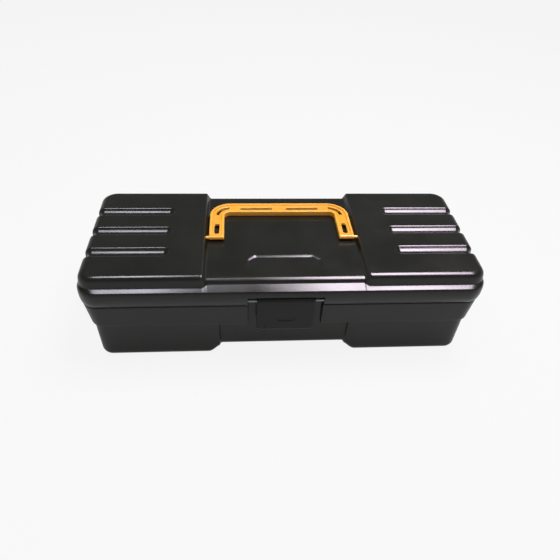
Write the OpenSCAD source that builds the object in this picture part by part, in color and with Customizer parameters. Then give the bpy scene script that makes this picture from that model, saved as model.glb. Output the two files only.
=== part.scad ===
// Small moulded toolbox with a lift-out tray.
// Origin: on the floor, under the centre of the bounding box. +X right, -Y front (latch side), +Z up.

/* [Overall] */
// Length over the bulge of the lid
box_l = 320; // [300:2:420]
// Depth over the bulge of the lid, front to back
box_d = 136.2; // [128:0.2:170]
// Height of the end blocks of the lid above the floor
box_h = 88.4; // [84:0.2:110]
// Height of the parting line between base and lid
parting_z = 60.4; // [54:0.2:64]

/* [Mouldings] */
// Wall thickness of lid and base
wall = 2.2; // [1.6:0.1:3]
// Plan corner radius at the bulge of the lid
corner_r = 16; // [12:0.5:22]
// Open line between lid and base
parting_gap = 0.4; // [0.2:0.1:1]

/* [Lid] */
// How far the lid narrows from its bulge to the parting line, at the ends
skirt_in_x = 1.3; // [1:0.1:3]
// How far the lid narrows from its bulge to the parting line, front and back
skirt_in_y = 4.2; // [3:0.1:6]
// Height of the bulge of the skirt above the parting line
bulge_up = 13; // [10:0.5:15]
// Height of the shelf under the end blocks above the parting line
shelf_up = 18.3; // [17:0.1:19.5]
// Setback of the end blocks behind the bulge, front and back
block_in_y = 4.7; // [3:0.1:6]
// Setback of the end blocks behind the bulge, at the ends
block_in_x = 1.3; // [1:0.1:4]
// Radius of the top edges of the end blocks
block_edge_r = 3.2; // [1.5:0.1:4]
// Edge radius of the end blocks at the ends of the box
block_end_r = 6; // [4:0.1:7]
// Half width of the sunk centre band at its foot
band_half = 62.3; // [61:0.1:75]
// Depth of the centre band below the end blocks
band_drop = 4.8; // [4:0.1:6]
// Setback of the band's top edge behind the bulge
band_in_y = 12.4; // [9:0.1:16]
// Width of the sloping wall between band and end block
step_w = 2.6; // [2:0.1:5]

/* [Grooves] */
// Grooves in each end block
groove_n = 3; // [1:1:4]
// Distance between neighbouring grooves
groove_pitch = 29.2; // [24:0.2:32]
// Width of a groove at the top
groove_w = 12.6; // [8:0.2:15]
// Radius of the rounded lip along each side of a groove
groove_lip_r = 2; // [1:0.1:3]
// Depth of a groove
groove_depth = 3; // [1.5:0.1:3.4]
// Distance from the box centre to the inner ends of the grooves
groove_x = 90.5; // [80:0.5:110]

/* [Band recess] */
// Half width of the shallow recess in the front half of the band
scoop_half = 29; // [20:0.5:40]
// Depth of that recess at its back edge
scoop_depth = 1.2; // [0.6:0.1:1.6]
// Distance from the box centre line to its back edge
scoop_back = 29.4; // [24:0.2:34]
// Length of the recess, front to back
scoop_l = 20; // [14:0.5:24]

/* [Base] */
// Height of the rim band under the parting line
rim_h = 21; // [16:0.2:26]
// How far the rim band narrows to its lower edge, at the ends
rim_in_x = 3.6; // [1:0.1:6]
// How far the rim band narrows to its lower edge, front and back
rim_in_y = 1.4; // [0.5:0.1:3]
// Step from the rim band in to the body below it, at the ends
rim_step_x = 1.8; // [0.6:0.1:2.4]
// Step from the rim band in to the body below it, front and back
rim_step_y = 1.2; // [0.6:0.1:2]
// Draft of the body from the step down to the rounded edge, at the ends
body_draft_x = 1.4; // [1:0.1:4]
// Draft of the lower body from the step down to the rounded edge, front and back
body_draft_y = 2.3; // [1:0.1:4]
// Radius of the bottom edge of the feet
foot_edge_r = 8.5; // [4:0.5:10]
// Height of the raised middle of the bottom above the feet
middle_up = 8.2; // [4:0.1:10]
// Setback of the middle of the front behind the foot blocks
middle_back = 2.2; // [1:0.1:3]
// Half width of the raised middle
middle_half = 51.3; // [45:0.1:58]
// Length of the curve from the raised middle down to a foot
foot_curve = 12.7; // [8:0.1:16]
// Depth of the ledge that carries the tray below the rim
ledge_down = 4.4; // [3:0.1:6]
// Width of that ledge
ledge_w = 3.6; // [3.2:0.1:4]

/* [Handle] */
// Length of the handle over its legs
handle_l = 121.4; // [100:0.2:122]
// Reach of the handle from its pivot axis to its far edge
handle_reach = 50.4; // [44:0.2:56]
// Thickness of the handle
handle_t = 4.6; // [4:0.1:4.7]
// Width of a leg
leg_w = 12.4; // [9:0.1:15]
// Width of the bar
bar_w = 13.9; // [10:0.1:16]
// Outer corner radius of the handle
handle_r = 18; // [14:0.5:22]
// Distance from the box centre line forward to the pivot axis
pivot_forward = 7.8; // [6:0.1:14]
// Diameter of the handle's pivot pins
pivot_d = 2.6; // [2:0.1:3]
// Width of the raised borders of the handle
border_w = 2.3; // [1.6:0.1:3]
// Depth of the channel between the borders
channel_depth = 1.2; // [0.6:0.1:1.6]

/* [Latch] */
// Width of the latch plate
latch_w = 45.8; // [36:0.2:50]
// Height of the latch plate
latch_h = 32.3; // [28:0.1:36]
// Skin thickness of the latch plate
latch_skin = 2.4; // [1.8:0.1:3]
// Depth of the latch plate over its side flanges
latch_t = 4.6; // [4:0.1:5.2]
// How far the top of the plate stands above the parting line
latch_up = 10.4; // [9.5:0.1:11]
// How far the front of the plate stands proud of the bulge
latch_proud = 0.8; // [0.4:0.1:2]
// Diameter of the latch pin
latch_pin_d = 2.4; // [2:0.1:3]
// Half width of the latch pocket in lid and base
pocket_half = 29.5; // [27:0.5:34]

/* [Rear hinges] */
// Distance from each end of the box to the middle of its hinge
hinge_in = 65; // [50:1:80]
// Diameter of the hinge pins
hinge_pin_d = 3; // [2.5:0.1:4]
// Outer diameter of the knuckles
knuckle_d = 6.4; // [6:0.1:8]
// Length of the outer knuckles, on the base
knuckle_outer = 12; // [8:0.5:18]
// Length of the middle knuckle, on the lid
knuckle_inner = 14; // [8:0.5:20]

/* [Tray] */
// Outer depth of the tray below its flange
tray_h = 24; // [18:0.5:28]
// Wall thickness of the tray
tray_wall = 1.8; // [1.4:0.1:2.4]
// Draft of the tray's walls
tray_draft = 2.5; // [1.5:0.1:4]
// Height of the finger grip above the flange
grip_up = 14; // [8:0.5:18]
// Width of the finger grip
grip_w = 92; // [70:1:110]

/* [Hidden] */

// Half sizes of the bulge
hl = box_l / 2;
hd = box_d / 2;

// Running clearance round pins, and the small gap kept between pieces that slide past each other
pin_play = 0.05;
seat_gap = 0.3;
// A cutter reaches this far past the surface that it cuts
over = 1;

// Segments of a quarter turn in plan, and of a rounded edge in profile
arc_n = 7;
edge_n = 3;

// Lid heights
lid_bottom = parting_z + parting_gap / 2;
bulge_z = parting_z + bulge_up;
shelf_z = parting_z + shelf_up;
band_z = box_h - band_drop;
// Tongue of the lid that drops inside the rim of the base
tongue_in = wall + seat_gap;
tongue_t = 1.2;
tongue_drop = 1.6;
// The shoulder: where the skirt turns into the sloping shelf
shelf_slope = tan(22);
shoulder_in_x = 1;
shoulder_in_y = 1.7;
shoulder_z = shelf_z - shelf_slope * (block_in_y - shoulder_in_y);
// Foot of the band's rounded front edge, where the shelf ends
band_foot_in = block_in_y + 2.8;
band_foot_z = shelf_z + shelf_slope * (band_foot_in - block_in_y);
// Draft of the end blocks' walls, and the plan radius of their inner corners
block_draft = 0.5;
bend_x = hl - block_in_x - block_draft - block_end_r;
bend_z = box_h - block_end_r;
turn_r = 5;
// The band's rear edge stays nearer to the rear wall than its front edge to the front wall
rear_share = 0.6;

// Base heights and insets from the bulge
base_top = parting_z - parting_gap / 2;
rim_z = parting_z - rim_h;
rim_foot_x = skirt_in_x + rim_in_x;
rim_foot_y = skirt_in_y + rim_in_y;
body_in_x = rim_foot_x + rim_step_x;
body_in_y = rim_foot_y + rim_step_y;
step_z = rim_z - 0.5;
ledge_z = parting_z - ledge_down;

// Latch pocket, catch and pin, measured from the box centre line
pocket_back = hd - body_in_y - middle_back - 0.4;
pocket_wall = 2.2;
plate_front = hd + latch_proud;
barrel_r = 3.7;
latch_pin_y = plate_front - barrel_r;
latch_top = parting_z + latch_up;
latch_pin_z = latch_top - barrel_r;
latch_bottom = latch_top - latch_h;
pocket_top = latch_top + 0.8;
cheek_t = 3;
latch_pin_l = 2 * (pocket_half + cheek_t - 0.5);
catch_nose = pocket_back + 1.8;
catch_z = parting_z - 12;
catch_h = 3;
catch_w = 28;

// Rear hinge axis
hinge_x = hl - hinge_in;
hinge_y = hd - skirt_in_y + 4.3;
hinge_l = knuckle_inner + 2 * knuckle_outer + 2 * seat_gap;

// The bounding box is centred front to back between latch plate and hinge knuckles
body_y = (plate_front - hinge_y - knuckle_d / 2) / 2;

// Handle pivot axis
pivot_y = -pivot_forward;
end_r = 1.9;
pivot_z = box_h - end_r;
pin_reach = 68.5;
boss_x = band_half + step_w;

// Tray
tray_top = ledge_z + seat_gap + 1.8;
tray_bottom = tray_top - tray_h;

// Smooth S-curve from 0 to 1
function ease(t) = (1 - cos(180 * t)) / 2;

// Points of one plan corner, from the end of the box to its front; x and y are both positive
function corner(hx, hy, r) = [
    for (k = [0 : arc_n])
        let (a = 90 * k / arc_n)
        [hx - r * (1 - cos(a)), hy - r * (1 - sin(a))]
];

// Front half of a ring, left to right. st lists [x, share of back, share of up] between the corners.
function half_ring(hx, hy, r, z, back, up, st) = let (c = corner(hx, hy, r)) concat(
    [for (p = c) [-p[0], -p[1], z]],
    [for (s = st) [s[0], -hy + back * s[1], z + up * s[2]]],
    [for (k = [arc_n : -1 : 0]) [c[k][0], -c[k][1], z]]
);

// Closed ring: the front half, then its mirror image at the back, with its own setback
function ring(hx, hy, r, z, back = 0, up = 0, st = [], rear = undef) =
    let (
        f = half_ring(hx, hy, r, z, back, up, st),
        b = half_ring(hx, hy, r, z, is_undef(rear) ? back : rear, up, st),
        n = len(f)
    )
    concat(f, [for (i = [n - 1 : -1 : 0]) [b[i][0], -b[i][1], b[i][2]]]);

// Ring inset from the bulge by ix at the ends and iy at the front and back
function inset_ring(ix, iy, z, back = 0, up = 0, st = [], rear = undef) =
    ring(hl - ix, hd - iy, corner_r - 0.8 * iy, z, back, up, st, rear);

// Closed solid through rings that have the same number of points. The first ring closes
// downwards and the last one upwards, by strips from front to back.
module loft(rings) {
    n = len(rings[0]);
    m = len(rings);
    last = (m - 1) * n;
    points = [for (r = rings) each r];
    sides = [
        for (j = [0 : m - 2], i = [0 : n - 1])
            let (a = j * n + i, b = j * n + (i + 1) % n)
            each [[a, a + n, b + n], [a, b + n, b]]
    ];
    strips = [for (i = [0 : n / 2 - 2]) [i, i + 1, n - 2 - i, n - 1 - i]];
    first_cap = [for (q = strips) each [[q[0], q[1], q[2]], [q[0], q[2], q[3]]]];
    last_cap = [
        for (q = strips)
            each [[last + q[0], last + q[2], last + q[1]], [last + q[0], last + q[3], last + q[2]]]
    ];
    polyhedron(points = points, faces = concat(sides, first_cap, last_cap), convexity = 6);
}

// Rectangle with round corners of exact arcs, centred
module round_rect(w, h, r) {
    square([w - 2 * r, h], center = true);
    square([w, h - 2 * r], center = true);
    for (x = [-1, 1], y = [-1, 1])
        translate([x * (w / 2 - r), y * (h / 2 - r)])
            circle(r, $fn = 32);
}

// Cylinder along X, centred on x
module rod(d, l, x, y, z) {
    translate([x, y, z])
        rotate([0, 90, 0])
            cylinder(d = d, h = l, center = true, $fn = 48);
}

// Block from one corner to the opposite one
module block(from, to) {
    translate(from)
        cube(to - from);
}

// Moves a piece from the box's own centre line to the centre of the bounding box
module place() {
    translate([0, body_y, 0])
        children();
}

// ---------------------------------------------------------------- base

// Stations along the front of the base: [x, share of the middle's setback, share of its rise]
function base_stations(shift) = let (
    start = middle_half - 1,
    side = [
        for (s = [[0, 1], [0.12, 1], [0.22, 0], [0.4, 0], [0.6, 0], [0.8, 0], [1, 0]])
            [start + shift + foot_curve * s[0], s[1], 1 - ease(s[0])]
    ],
    n = len(side)
) concat([for (i = [n - 1 : -1 : 0]) [-side[i][0], side[i][1], side[i][2]]], side);

// Rings of the rounded bottom edge, from the flat bottom up to the wall
function bottom_rings(ix, iy, r, z, shift) = [
    for (k = [0 : edge_n])
        let (a = 90 * k / edge_n, s = r * (1 - sin(a)))
        inset_ring(ix + s, iy + s, z + r * (1 - cos(a)), middle_back, middle_up, base_stations(shift))
];

module base_loft() {
    out = base_stations(0);
    inn = base_stations(0.9 * wall);
    foot_x = body_in_x + body_draft_x;
    foot_y = body_in_y + body_draft_y;
    inner_bottom = bottom_rings(foot_x + wall, foot_y + wall, foot_edge_r - wall, wall, 0.9 * wall);
    lip = wall - 0.2;
    loft(concat(
        bottom_rings(foot_x, foot_y, foot_edge_r, 0, 0),
        [
            inset_ring(body_in_x, body_in_y, step_z, middle_back, 0, out),
            inset_ring(rim_foot_x, rim_foot_y, rim_z, 0, 0, out),
            inset_ring(skirt_in_x, skirt_in_y, base_top, 0, 0, out),
            inset_ring(skirt_in_x + lip, skirt_in_y + lip, base_top, 0, 0, inn),
            inset_ring(skirt_in_x + lip, skirt_in_y + lip, ledge_z, 0, 0, inn),
            inset_ring(skirt_in_x + lip + ledge_w, skirt_in_y + wall, ledge_z, 0, 0, inn),
            inset_ring(body_in_x + wall, body_in_y + wall, step_z, middle_back, 0, inn)
        ],
        [for (k = [edge_n : -1 : 0]) inner_bottom[k]]
    ));
}

// One hinge knuckle with the web that joins it to its wall; side is -1 below the parting line, 1 above
module knuckle(x, l, side) {
    root = hd - skirt_in_y - 0.9;
    rod(knuckle_d, l, x, hinge_y, parting_z);
    z = side < 0 ? [parting_z - knuckle_d / 2, parting_z] : [lid_bottom, parting_z + knuckle_d / 2];
    block([x - l / 2, root, z[0]], [x + l / 2, hinge_y, z[1]]);
}

// Bores of both hinges. The pins are tight in the base and turn freely in the lid.
module hinge_bores(play) {
    for (s = [-1, 1])
        rod(hinge_pin_d + 2 * play, hinge_l + 2 * over, s * hinge_x, hinge_y, parting_z);
}

module base_shell() {
    color([0.16, 0.16, 0.15])
        place()
            difference() {
                union() {
                    difference() {
                        union() {
                            base_loft();
                            // Walls behind and beside the latch pocket
                            block([-pocket_half - pocket_wall, -pocket_back, step_z - 1],
                                  [pocket_half + pocket_wall, -pocket_back + pocket_wall, base_top]);
                            for (x = [-pocket_half - pocket_wall, pocket_half])
                                block([x, -hd + rim_foot_y + 0.5, rim_z],
                                      [x + pocket_wall, -pocket_back + 1, base_top]);
                        }
                        // Latch pocket through the rim band
                        block([-pocket_half, -hd - over, rim_z - over],
                              [pocket_half, -pocket_back, parting_z + over]);
                    }
                    catch_ridge();
                    for (s = [-1, 1], e = [-1, 1])
                        knuckle(s * hinge_x + e * (knuckle_inner + knuckle_outer + 2 * seat_gap) / 2,
                                knuckle_outer, -1);
                }
                hinge_bores(0);
            }
}

// Catch on the back of the pocket: flat below for the hook, sloped above
module catch_ridge() {
    translate([-catch_w / 2, 0, 0])
        rotate([90, 0, 90])
            linear_extrude(catch_w)
                polygon([
                    [-pocket_back + 1, catch_z],
                    [-catch_nose, catch_z],
                    [-catch_nose, catch_z + 1],
                    [-pocket_back, catch_z + catch_h],
                    [-pocket_back + 1, catch_z + catch_h]
                ]);
}

// ---------------------------------------------------------------- lid

// Stations along the front of the lid: [x, share of the band's setback, share of its drop].
// The step's foot turns outwards through a quarter circle at the front and at the back.
function lid_stations(shift) = let (
    side = [
        for (a = [90, 72, 54, 36, 18, 0])
            let (x = turn_r * (1 - sin(a)))
            [band_half + shift + x, 1 - cos(a), x < step_w ? 1 - ease(x / step_w) : 0]
    ],
    n = len(side)
) concat([for (i = [n - 1 : -1 : 0]) [-side[i][0], side[i][1], side[i][2]]], side);

// How far a rounded edge of radius r has turned inwards, a height up above its start
function turned_in(r, up) = r * (1 - cos(asin(max(0, min(1, up / r)))));

// Rings from the foot of the blocks to their flat tops. A block's edge is rounder at the end of
// the box than at its front and back. The band's own edge is an ellipse.
function top_rings(skin, st) =
    let (
        r = block_edge_r - (skin > 0 ? 1 : 0),
        end_r = block_end_r - skin,
        top = box_h - skin,
        heights = concat(
            [shelf_z - skin / 2, top - end_r],
            [for (k = [0 : edge_n]) top - r + r * sin(90 * k / edge_n)]
        ),
        last = len(heights) - 1
    )
    [
        for (k = [0 : last])
            let (
                z = heights[k],
                side = skin + (k < 1 ? 0 : block_draft),
                in_x = side + turned_in(end_r, z - top + end_r),
                in_y = side + turned_in(r, z - top + r),
                share = 90 * k / last,
                band_in = skin + band_foot_in + (band_in_y - band_foot_in) * (1 - cos(share)),
                band_top = band_foot_z - skin + (band_z - band_foot_z) * sin(share),
                back = band_in - block_in_y - in_y
            )
            inset_ring(block_in_x + in_x, block_in_y + in_y, z, back, band_top - z, st, rear_share * back)
    ];

// Rings of the skirt, from the parting line over the bulge to the shoulder
function skirt_rings(skin, st) = concat(
    [
        for (t = [1, 0.8, 0.55, 0.28, 0])
            let (s = pow(t, 2.4))
            inset_ring(skin + skirt_in_x * s, skin + skirt_in_y * s,
                       bulge_z - (bulge_z - lid_bottom) * t, 0, 0, st)
    ],
    [
        for (a = [45, 90])
            inset_ring(skin + shoulder_in_x * (1 - cos(a)), skin + shoulder_in_y * (1 - cos(a)),
                       bulge_z + (shoulder_z - skin / 2 - bulge_z) * sin(a), 0, 0, st)
    ]
);

module lid_loft() {
    out = lid_stations(0);
    inn = lid_stations(0.9 * wall);
    inner = concat(skirt_rings(wall, inn), top_rings(wall, inn));
    tongue_z = lid_bottom - tongue_drop;
    loft(concat(
        [for (k = [len(inner) - 1 : -1 : 1]) inner[k]],
        [
            inset_ring(skirt_in_x + tongue_in + tongue_t, skirt_in_y + tongue_in + tongue_t,
                       lid_bottom, 0, 0, inn),
            inset_ring(skirt_in_x + tongue_in + tongue_t, skirt_in_y + tongue_in + tongue_t,
                       tongue_z, 0, 0, inn),
            inset_ring(skirt_in_x + tongue_in, skirt_in_y + tongue_in, tongue_z, 0, 0, out),
            inset_ring(skirt_in_x + tongue_in, skirt_in_y + tongue_in, lid_bottom, 0, 0, out)
        ],
        skirt_rings(0, out),
        top_rings(0, out)
    ));
}

// Half profile of a groove, [distance from its middle, height], open at the top: a concave
// floor that runs into a rounded lip. grow shifts the whole profile outwards.
function groove_profile(grow = 0) = let (
    turn = 2 * atan(2 * groove_depth / groove_w),
    floor_r = groove_w / 2 / sin(turn) - groove_lip_r + grow,
    lip_r = groove_lip_r - grow,
    low = box_h - groove_depth - grow,
    side = floor_r * sin(turn) + lip_r * sin(turn)
) concat(
    [for (k = [0 : 4]) let (a = turn * k / 4) [floor_r * sin(a), low + floor_r * (1 - cos(a))]],
    [
        for (k = [2, 1, 0])
            let (a = turn * k / 3)
            [side - lip_r * sin(a), box_h - grow - lip_r * (1 - cos(a))]
    ],
    [[side, box_h + over], [0, box_h + over]]
);

// Carries a profile's points [distance from the middle, height] along a groove of the right-hand
// block: straight to the end, round the block's edge and down to the given height
module along_groove(half, y, from, down_to) {
    mirrored = [for (i = [len(half) - 1 : -1 : 0]) if (half[i][0] > 0) [-half[i][0], half[i][1]]];
    both = concat(half, mirrored);
    bent = [for (p = both) [p[1] - bend_z, p[0]]];
    translate([from, y, 0])
        rotate([90, 0, 90])
            linear_extrude(bend_x - from)
                polygon(both);
    translate([bend_x, y, bend_z])
        rotate([90, 0, 0])
            rotate_extrude(angle = 90, $fn = 24)
                polygon(bent);
    translate([bend_x, y, down_to])
        linear_extrude(bend_z - down_to)
            polygon(bent);
}

// Cutter of one groove of the right-hand block, with a turned inner end
module groove(y) {
    turn_x = groove_x + groove_w / 2;
    half = groove_profile();
    along_groove(half, y, turn_x, shelf_z);
    translate([turn_x, y, 0])
        rotate_extrude($fn = 28)
            polygon(half);
}

// Thickening under a groove, inside the lid
module groove_rib(y) {
    low = box_h - groove_depth - wall;
    high = box_h - wall / 2;
    wide = groove_w / 2 + 1.4;
    narrow = groove_w / 4 + 0.6;
    along_groove([[narrow, low], [wide, high]], y, groove_x - wall, shelf_z - wall);
}

// Repeats its children for every groove of both blocks
module each_groove() {
    for (s = [0, 1], k = [0 : groove_n - 1])
        mirror([s, 0, 0])
            if ($children > 0)
                translate([0, (k - (groove_n - 1) / 2) * groove_pitch, 0])
                    children();
}

// Cutter of the shallow recess in the front half of the band
module scoop() {
    flare = 5.5;
    intersection() {
        translate([0, 0, band_z - scoop_depth - over])
            linear_extrude(scoop_depth + 2 * over)
                polygon([
                    [-scoop_half + flare, -scoop_back],
                    [scoop_half - flare, -scoop_back],
                    [scoop_half, -scoop_back - flare],
                    [scoop_half, -scoop_back - scoop_l - over],
                    [-scoop_half, -scoop_back - scoop_l - over],
                    [-scoop_half, -scoop_back - flare]
                ]);
        translate([-scoop_half, 0, 0])
            rotate([90, 0, 90])
                linear_extrude(2 * scoop_half)
                    polygon([
                        [-scoop_back + scoop_depth, band_z + over],
                        [-scoop_back - scoop_depth, band_z - scoop_depth],
                        [-scoop_back - scoop_l, band_z],
                        [-scoop_back - scoop_l, band_z + over]
                    ]);
    }
}

module lid_shell() {
    recess_back = latch_pin_y - barrel_r - 0.4;
    color([0.17, 0.17, 0.16])
        place()
            difference() {
                union() {
                    difference() {
                        union() {
                            lid_loft();
                            // Back wall and cheeks of the latch recess
                            block([-pocket_half - cheek_t, -latch_pin_y + 0.4, lid_bottom],
                                  [pocket_half + cheek_t, -recess_back + pocket_wall, pocket_top + wall]);
                            each_groove()
                                groove_rib(0);
                            // Bosses behind the handle's pivot pins
                            for (s = [0, 1])
                                mirror([s, 0, 0])
                                    block([boss_x, pivot_y - 4.5, pivot_z - 5],
                                          [pin_reach + 2.5, pivot_y + 4.5, box_h - 1]);
                        }
                        // Latch recess through the skirt
                        block([-pocket_half, -hd - over, lid_bottom - 2 * over],
                              [pocket_half, -recess_back, pocket_top]);
                        // The tongue stops short of the latch
                        block([-pocket_half - cheek_t - over, -hd - over, lid_bottom - 2 * over],
                              [pocket_half + cheek_t + over, -hd / 2, lid_bottom]);
                        each_groove()
                            groove(0);
                        scoop();
                        rod(latch_pin_d, latch_pin_l, 0, -latch_pin_y, latch_pin_z);
                        for (s = [-1, 1])
                            rod(pivot_d + 2 * pin_play, pin_reach + 0.5 - band_half + over,
                                s * (pin_reach + 0.5 + band_half - over) / 2, pivot_y, pivot_z);
                    }
                    for (s = [-1, 1])
                        knuckle(s * hinge_x, knuckle_inner, 1);
                }
                hinge_bores(pin_play);
            }
}

// ---------------------------------------------------------------- handle

// Plan of the handle seen with its pivot axis on y = 0, drawn in from the edge by inset
module handle_plan(inset, foot) {
    w = handle_l / 2 - inset;
    r = handle_r - inset;
    inner_w = handle_l / 2 - leg_w + inset;
    inner_top = handle_reach - bar_w + inset;
    inner_r = 5;
    difference() {
        union() {
            translate([-w, foot])
                square([2 * w, handle_reach - inset - r - foot]);
            translate([-w + r, foot])
                square([2 * (w - r), handle_reach - inset - foot]);
            for (s = [-1, 1])
                translate([s * (w - r), handle_reach - inset - r])
                    circle(r, $fn = 64);
        }
        translate([-inner_w, foot - over])
            square([2 * inner_w, inner_top - inner_r - foot + over]);
        translate([-inner_w + inner_r, foot - over])
            square([2 * (inner_w - inner_r), inner_top - foot + over]);
        for (s = [-1, 1])
            translate([s * (inner_w - inner_r), inner_top - inner_r])
                circle(inner_r, $fn = 48);
    }
}

// Oblong hole in plan, along x
module slot(l, w) {
    square([l - w, w], center = true);
    for (s = [-1, 1])
        translate([s * (l - w) / 2, 0])
            circle(w / 2, $fn = 32);
}

module handle_slots() {
    bar_y = handle_reach - bar_w / 2;
    leg_x = (handle_l - leg_w) / 2;
    turn = [handle_l / 2 - handle_r, handle_reach - handle_r];
    turn_r = handle_r - leg_w / 2;
    slot_w = 3.2;
    for (s = [0, 1])
        mirror([s, 0]) {
            translate([20.3, bar_y - 0.5])
                slot(29, slot_w);
            translate([leg_x, 12])
                rotate(90)
                    slot(15, slot_w + 1);
            // Curved slot round the corner
            difference() {
                intersection() {
                    translate(turn)
                        circle(turn_r + slot_w / 2, $fn = 64);
                    translate(turn + [1.2, 1.2])
                        square(handle_r);
                }
                translate(turn)
                    circle(turn_r - slot_w / 2, $fn = 64);
            }
        }
}

module carry_handle() {
    leg_x = (handle_l - leg_w) / 2;
    low = end_r - handle_t;
    pin_l = pin_reach - handle_l / 2 + over;
    color([0.93, 0.48, 0.07])
        place()
            translate([0, pivot_y, pivot_z]) {
                difference() {
                    translate([0, 0, low])
                        linear_extrude(handle_t)
                            handle_plan(0, 0);
                    translate([0, 0, end_r - channel_depth])
                        linear_extrude(channel_depth + over)
                            handle_plan(border_w, border_w + 1);
                    translate([0, 0, low - over])
                        linear_extrude(channel_depth + over)
                            handle_plan(border_w, border_w + 1);
                    translate([0, 0, low - over])
                        linear_extrude(handle_t + 2 * over)
                            handle_slots();
                    // Underside of the leg ends, cut back to the round end
                    rotate([90, 0, 90])
                        linear_extrude(handle_l + 2 * over, center = true)
                            polygon([[-over, -end_r], [0, -end_r], [end_r, low - 0.1], [-over, low - 0.1]]);
                }
                for (s = [-1, 1]) {
                    rod(2 * end_r, leg_w, s * leg_x, 0, 0);
                    rod(pivot_d, pin_l, s * (pin_reach - pin_l / 2), 0, 0);
                }
            }
}

// ---------------------------------------------------------------- latch

// Front view of the plate, drawn in from the edge by inset; y is up from the plate's lower edge
module plate_face(inset) {
    h = latch_h - barrel_r;
    translate([0, h / 2])
        round_rect(latch_w - 2 * inset, h - 2 * inset, 3 - inset / 2);
}

module front_latch() {
    bevel = 2.6;
    bevel_t = 0.7;
    edge = 2;
    back = plate_front - latch_t;
    hook_tip = catch_nose + 0.15;
    hook_w = catch_w - 6;
    color([0.17, 0.17, 0.16])
        place()
                difference() {
                    union() {
                        // Plate with a bevelled border, hollow behind
                        difference() {
                            union() {
                                translate([0, -plate_front + bevel_t, latch_bottom])
                                    rotate([90, 0, 0])
                                        hull() {
                                            linear_extrude(0.01)
                                                plate_face(0);
                                            translate([0, 0, bevel_t - 0.01])
                                                linear_extrude(0.01)
                                                    plate_face(bevel / 2);
                                        }
                                translate([0, -back, latch_bottom])
                                    rotate([90, 0, 0])
                                        linear_extrude(latch_t - bevel_t)
                                            plate_face(0);
                            }
                            block([-latch_w / 2 + edge, -plate_front + latch_skin, latch_bottom + edge],
                                  [latch_w / 2 - edge, -back + over, latch_pin_z + over]);
                        }
                        rod(2 * barrel_r, latch_w, 0, -latch_pin_y, latch_pin_z);
                        // Hook under the catch, and its gusset
                        block([-hook_w / 2, -plate_front + latch_skin - 0.5, catch_z - 3.6],
                              [hook_w / 2, -hook_tip, catch_z - 0.5]);
                        for (x = [-8, 0, 8])
                            block([x - 0.8, -plate_front + latch_skin - 0.5, latch_bottom + edge - 0.5],
                                  [x + 0.8, -back - 0.2, catch_z - 3]);
                    }
                    rod(latch_pin_d + 2 * pin_play, latch_w + 2 * over, 0, -latch_pin_y, latch_pin_z);
                    // Plain pill-shaped field on the face
                    translate([0, -plate_front + 0.5, latch_bottom + 13.2])
                        rotate([90, 0, 0])
                            linear_extrude(over)
                                slot(14.6, 6.6);
                }
}

module latch_pin() {
    color([0.75, 0.76, 0.78])
        place()
            rod(latch_pin_d, latch_pin_l, 0, -latch_pin_y, latch_pin_z);
}

// ---------------------------------------------------------------- hinge pins

module hinge_pin(side) {
    color([0.75, 0.76, 0.78])
        place()
            rod(hinge_pin_d, hinge_l, side * hinge_x, hinge_y, parting_z);
}

// ---------------------------------------------------------------- tray

tray_hl = hl - body_in_x - wall + 0.7;
tray_hd = pocket_back - pocket_wall - 1.2;
tray_r = 12;

// Rounded ring of the tray at a draft inset
function tray_ring(inset, z) = ring(tray_hl - inset, tray_hd - inset, tray_r - inset / 2, z);

module tray_loft() {
    flange_x = hl - skirt_in_x - tongue_in - tongue_t - 0.4;
    flange_y = tray_hd + 0.6;
    flange_z = ledge_z + seat_gap;
    loft([
        tray_ring(tray_draft + 2, tray_bottom),
        tray_ring(tray_draft, tray_bottom + 2),
        tray_ring(0, flange_z),
        ring(flange_x, flange_y, tray_r, flange_z),
        ring(flange_x, flange_y, tray_r, tray_top),
        tray_ring(tray_wall, tray_top),
        tray_ring(tray_draft + tray_wall, tray_bottom + tray_wall + 2),
        tray_ring(tray_draft + tray_wall + 2, tray_bottom + tray_wall)
    ]);
}

// Upright rib of the tray with drafted ends, standing on its floor; half is its half length at the top
module rib_plate(half, t) {
    low = tray_bottom + tray_wall / 2;
    top = tray_top - 1;
    rotate([90, 0, 0])
        linear_extrude(t, center = true)
            polygon([
                [-half + tray_draft + 1, low],
                [half - tray_draft - 1, low],
                [half, top],
                [-half, top]
            ]);
}

// Rounded upright plate with a finger hole, standing on the long rib
module grip() {
    t = 3;
    h = tray_top + grip_up - tray_bottom - tray_wall / 2;
    hole_h = 16;
    translate([0, t / 2, tray_bottom + tray_wall / 2])
        rotate([90, 0, 0])
            linear_extrude(t)
                translate([0, h / 2])
                    difference() {
                        round_rect(grip_w, h, 8);
                        translate([0, h / 2 - 6 - hole_h / 2])
                            slot(grip_w - 24, hole_h);
                    }
}

module lift_out_tray() {
    rib = 1.6;
    rib_y = tray_hd - tray_wall / 2;
    color([0.2, 0.2, 0.2])
        place() {
            tray_loft();
            // Long rib, and cross ribs that part the rear half into three compartments
            rib_plate(tray_hl - tray_wall / 2, rib);
            for (x = [-1, 1])
                intersection() {
                    translate([x * tray_hl / 3, 0, 0])
                        rotate([0, 0, 90])
                            rib_plate(rib_y, rib);
                    block([-hl, 0, 0], [hl, hd, box_h]);
                }
            grip();
        }
}

base_shell();
lid_shell();
carry_handle();
front_latch();
latch_pin();
hinge_pin(-1);  // hinge_pin_left
hinge_pin(1);  // hinge_pin_right
lift_out_tray();
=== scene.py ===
"""Small moulded toolbox with a lift-out tray: the looks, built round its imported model.

Every shape is worked out in millimetres from the box's own centre line and is written to its
mesh in metres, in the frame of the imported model.
"""

import logging
import math
from dataclasses import dataclass
from enum import Enum

import bmesh
import bpy
import numpy as np
from mathutils import Matrix, Vector
from numpy.typing import NDArray


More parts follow.
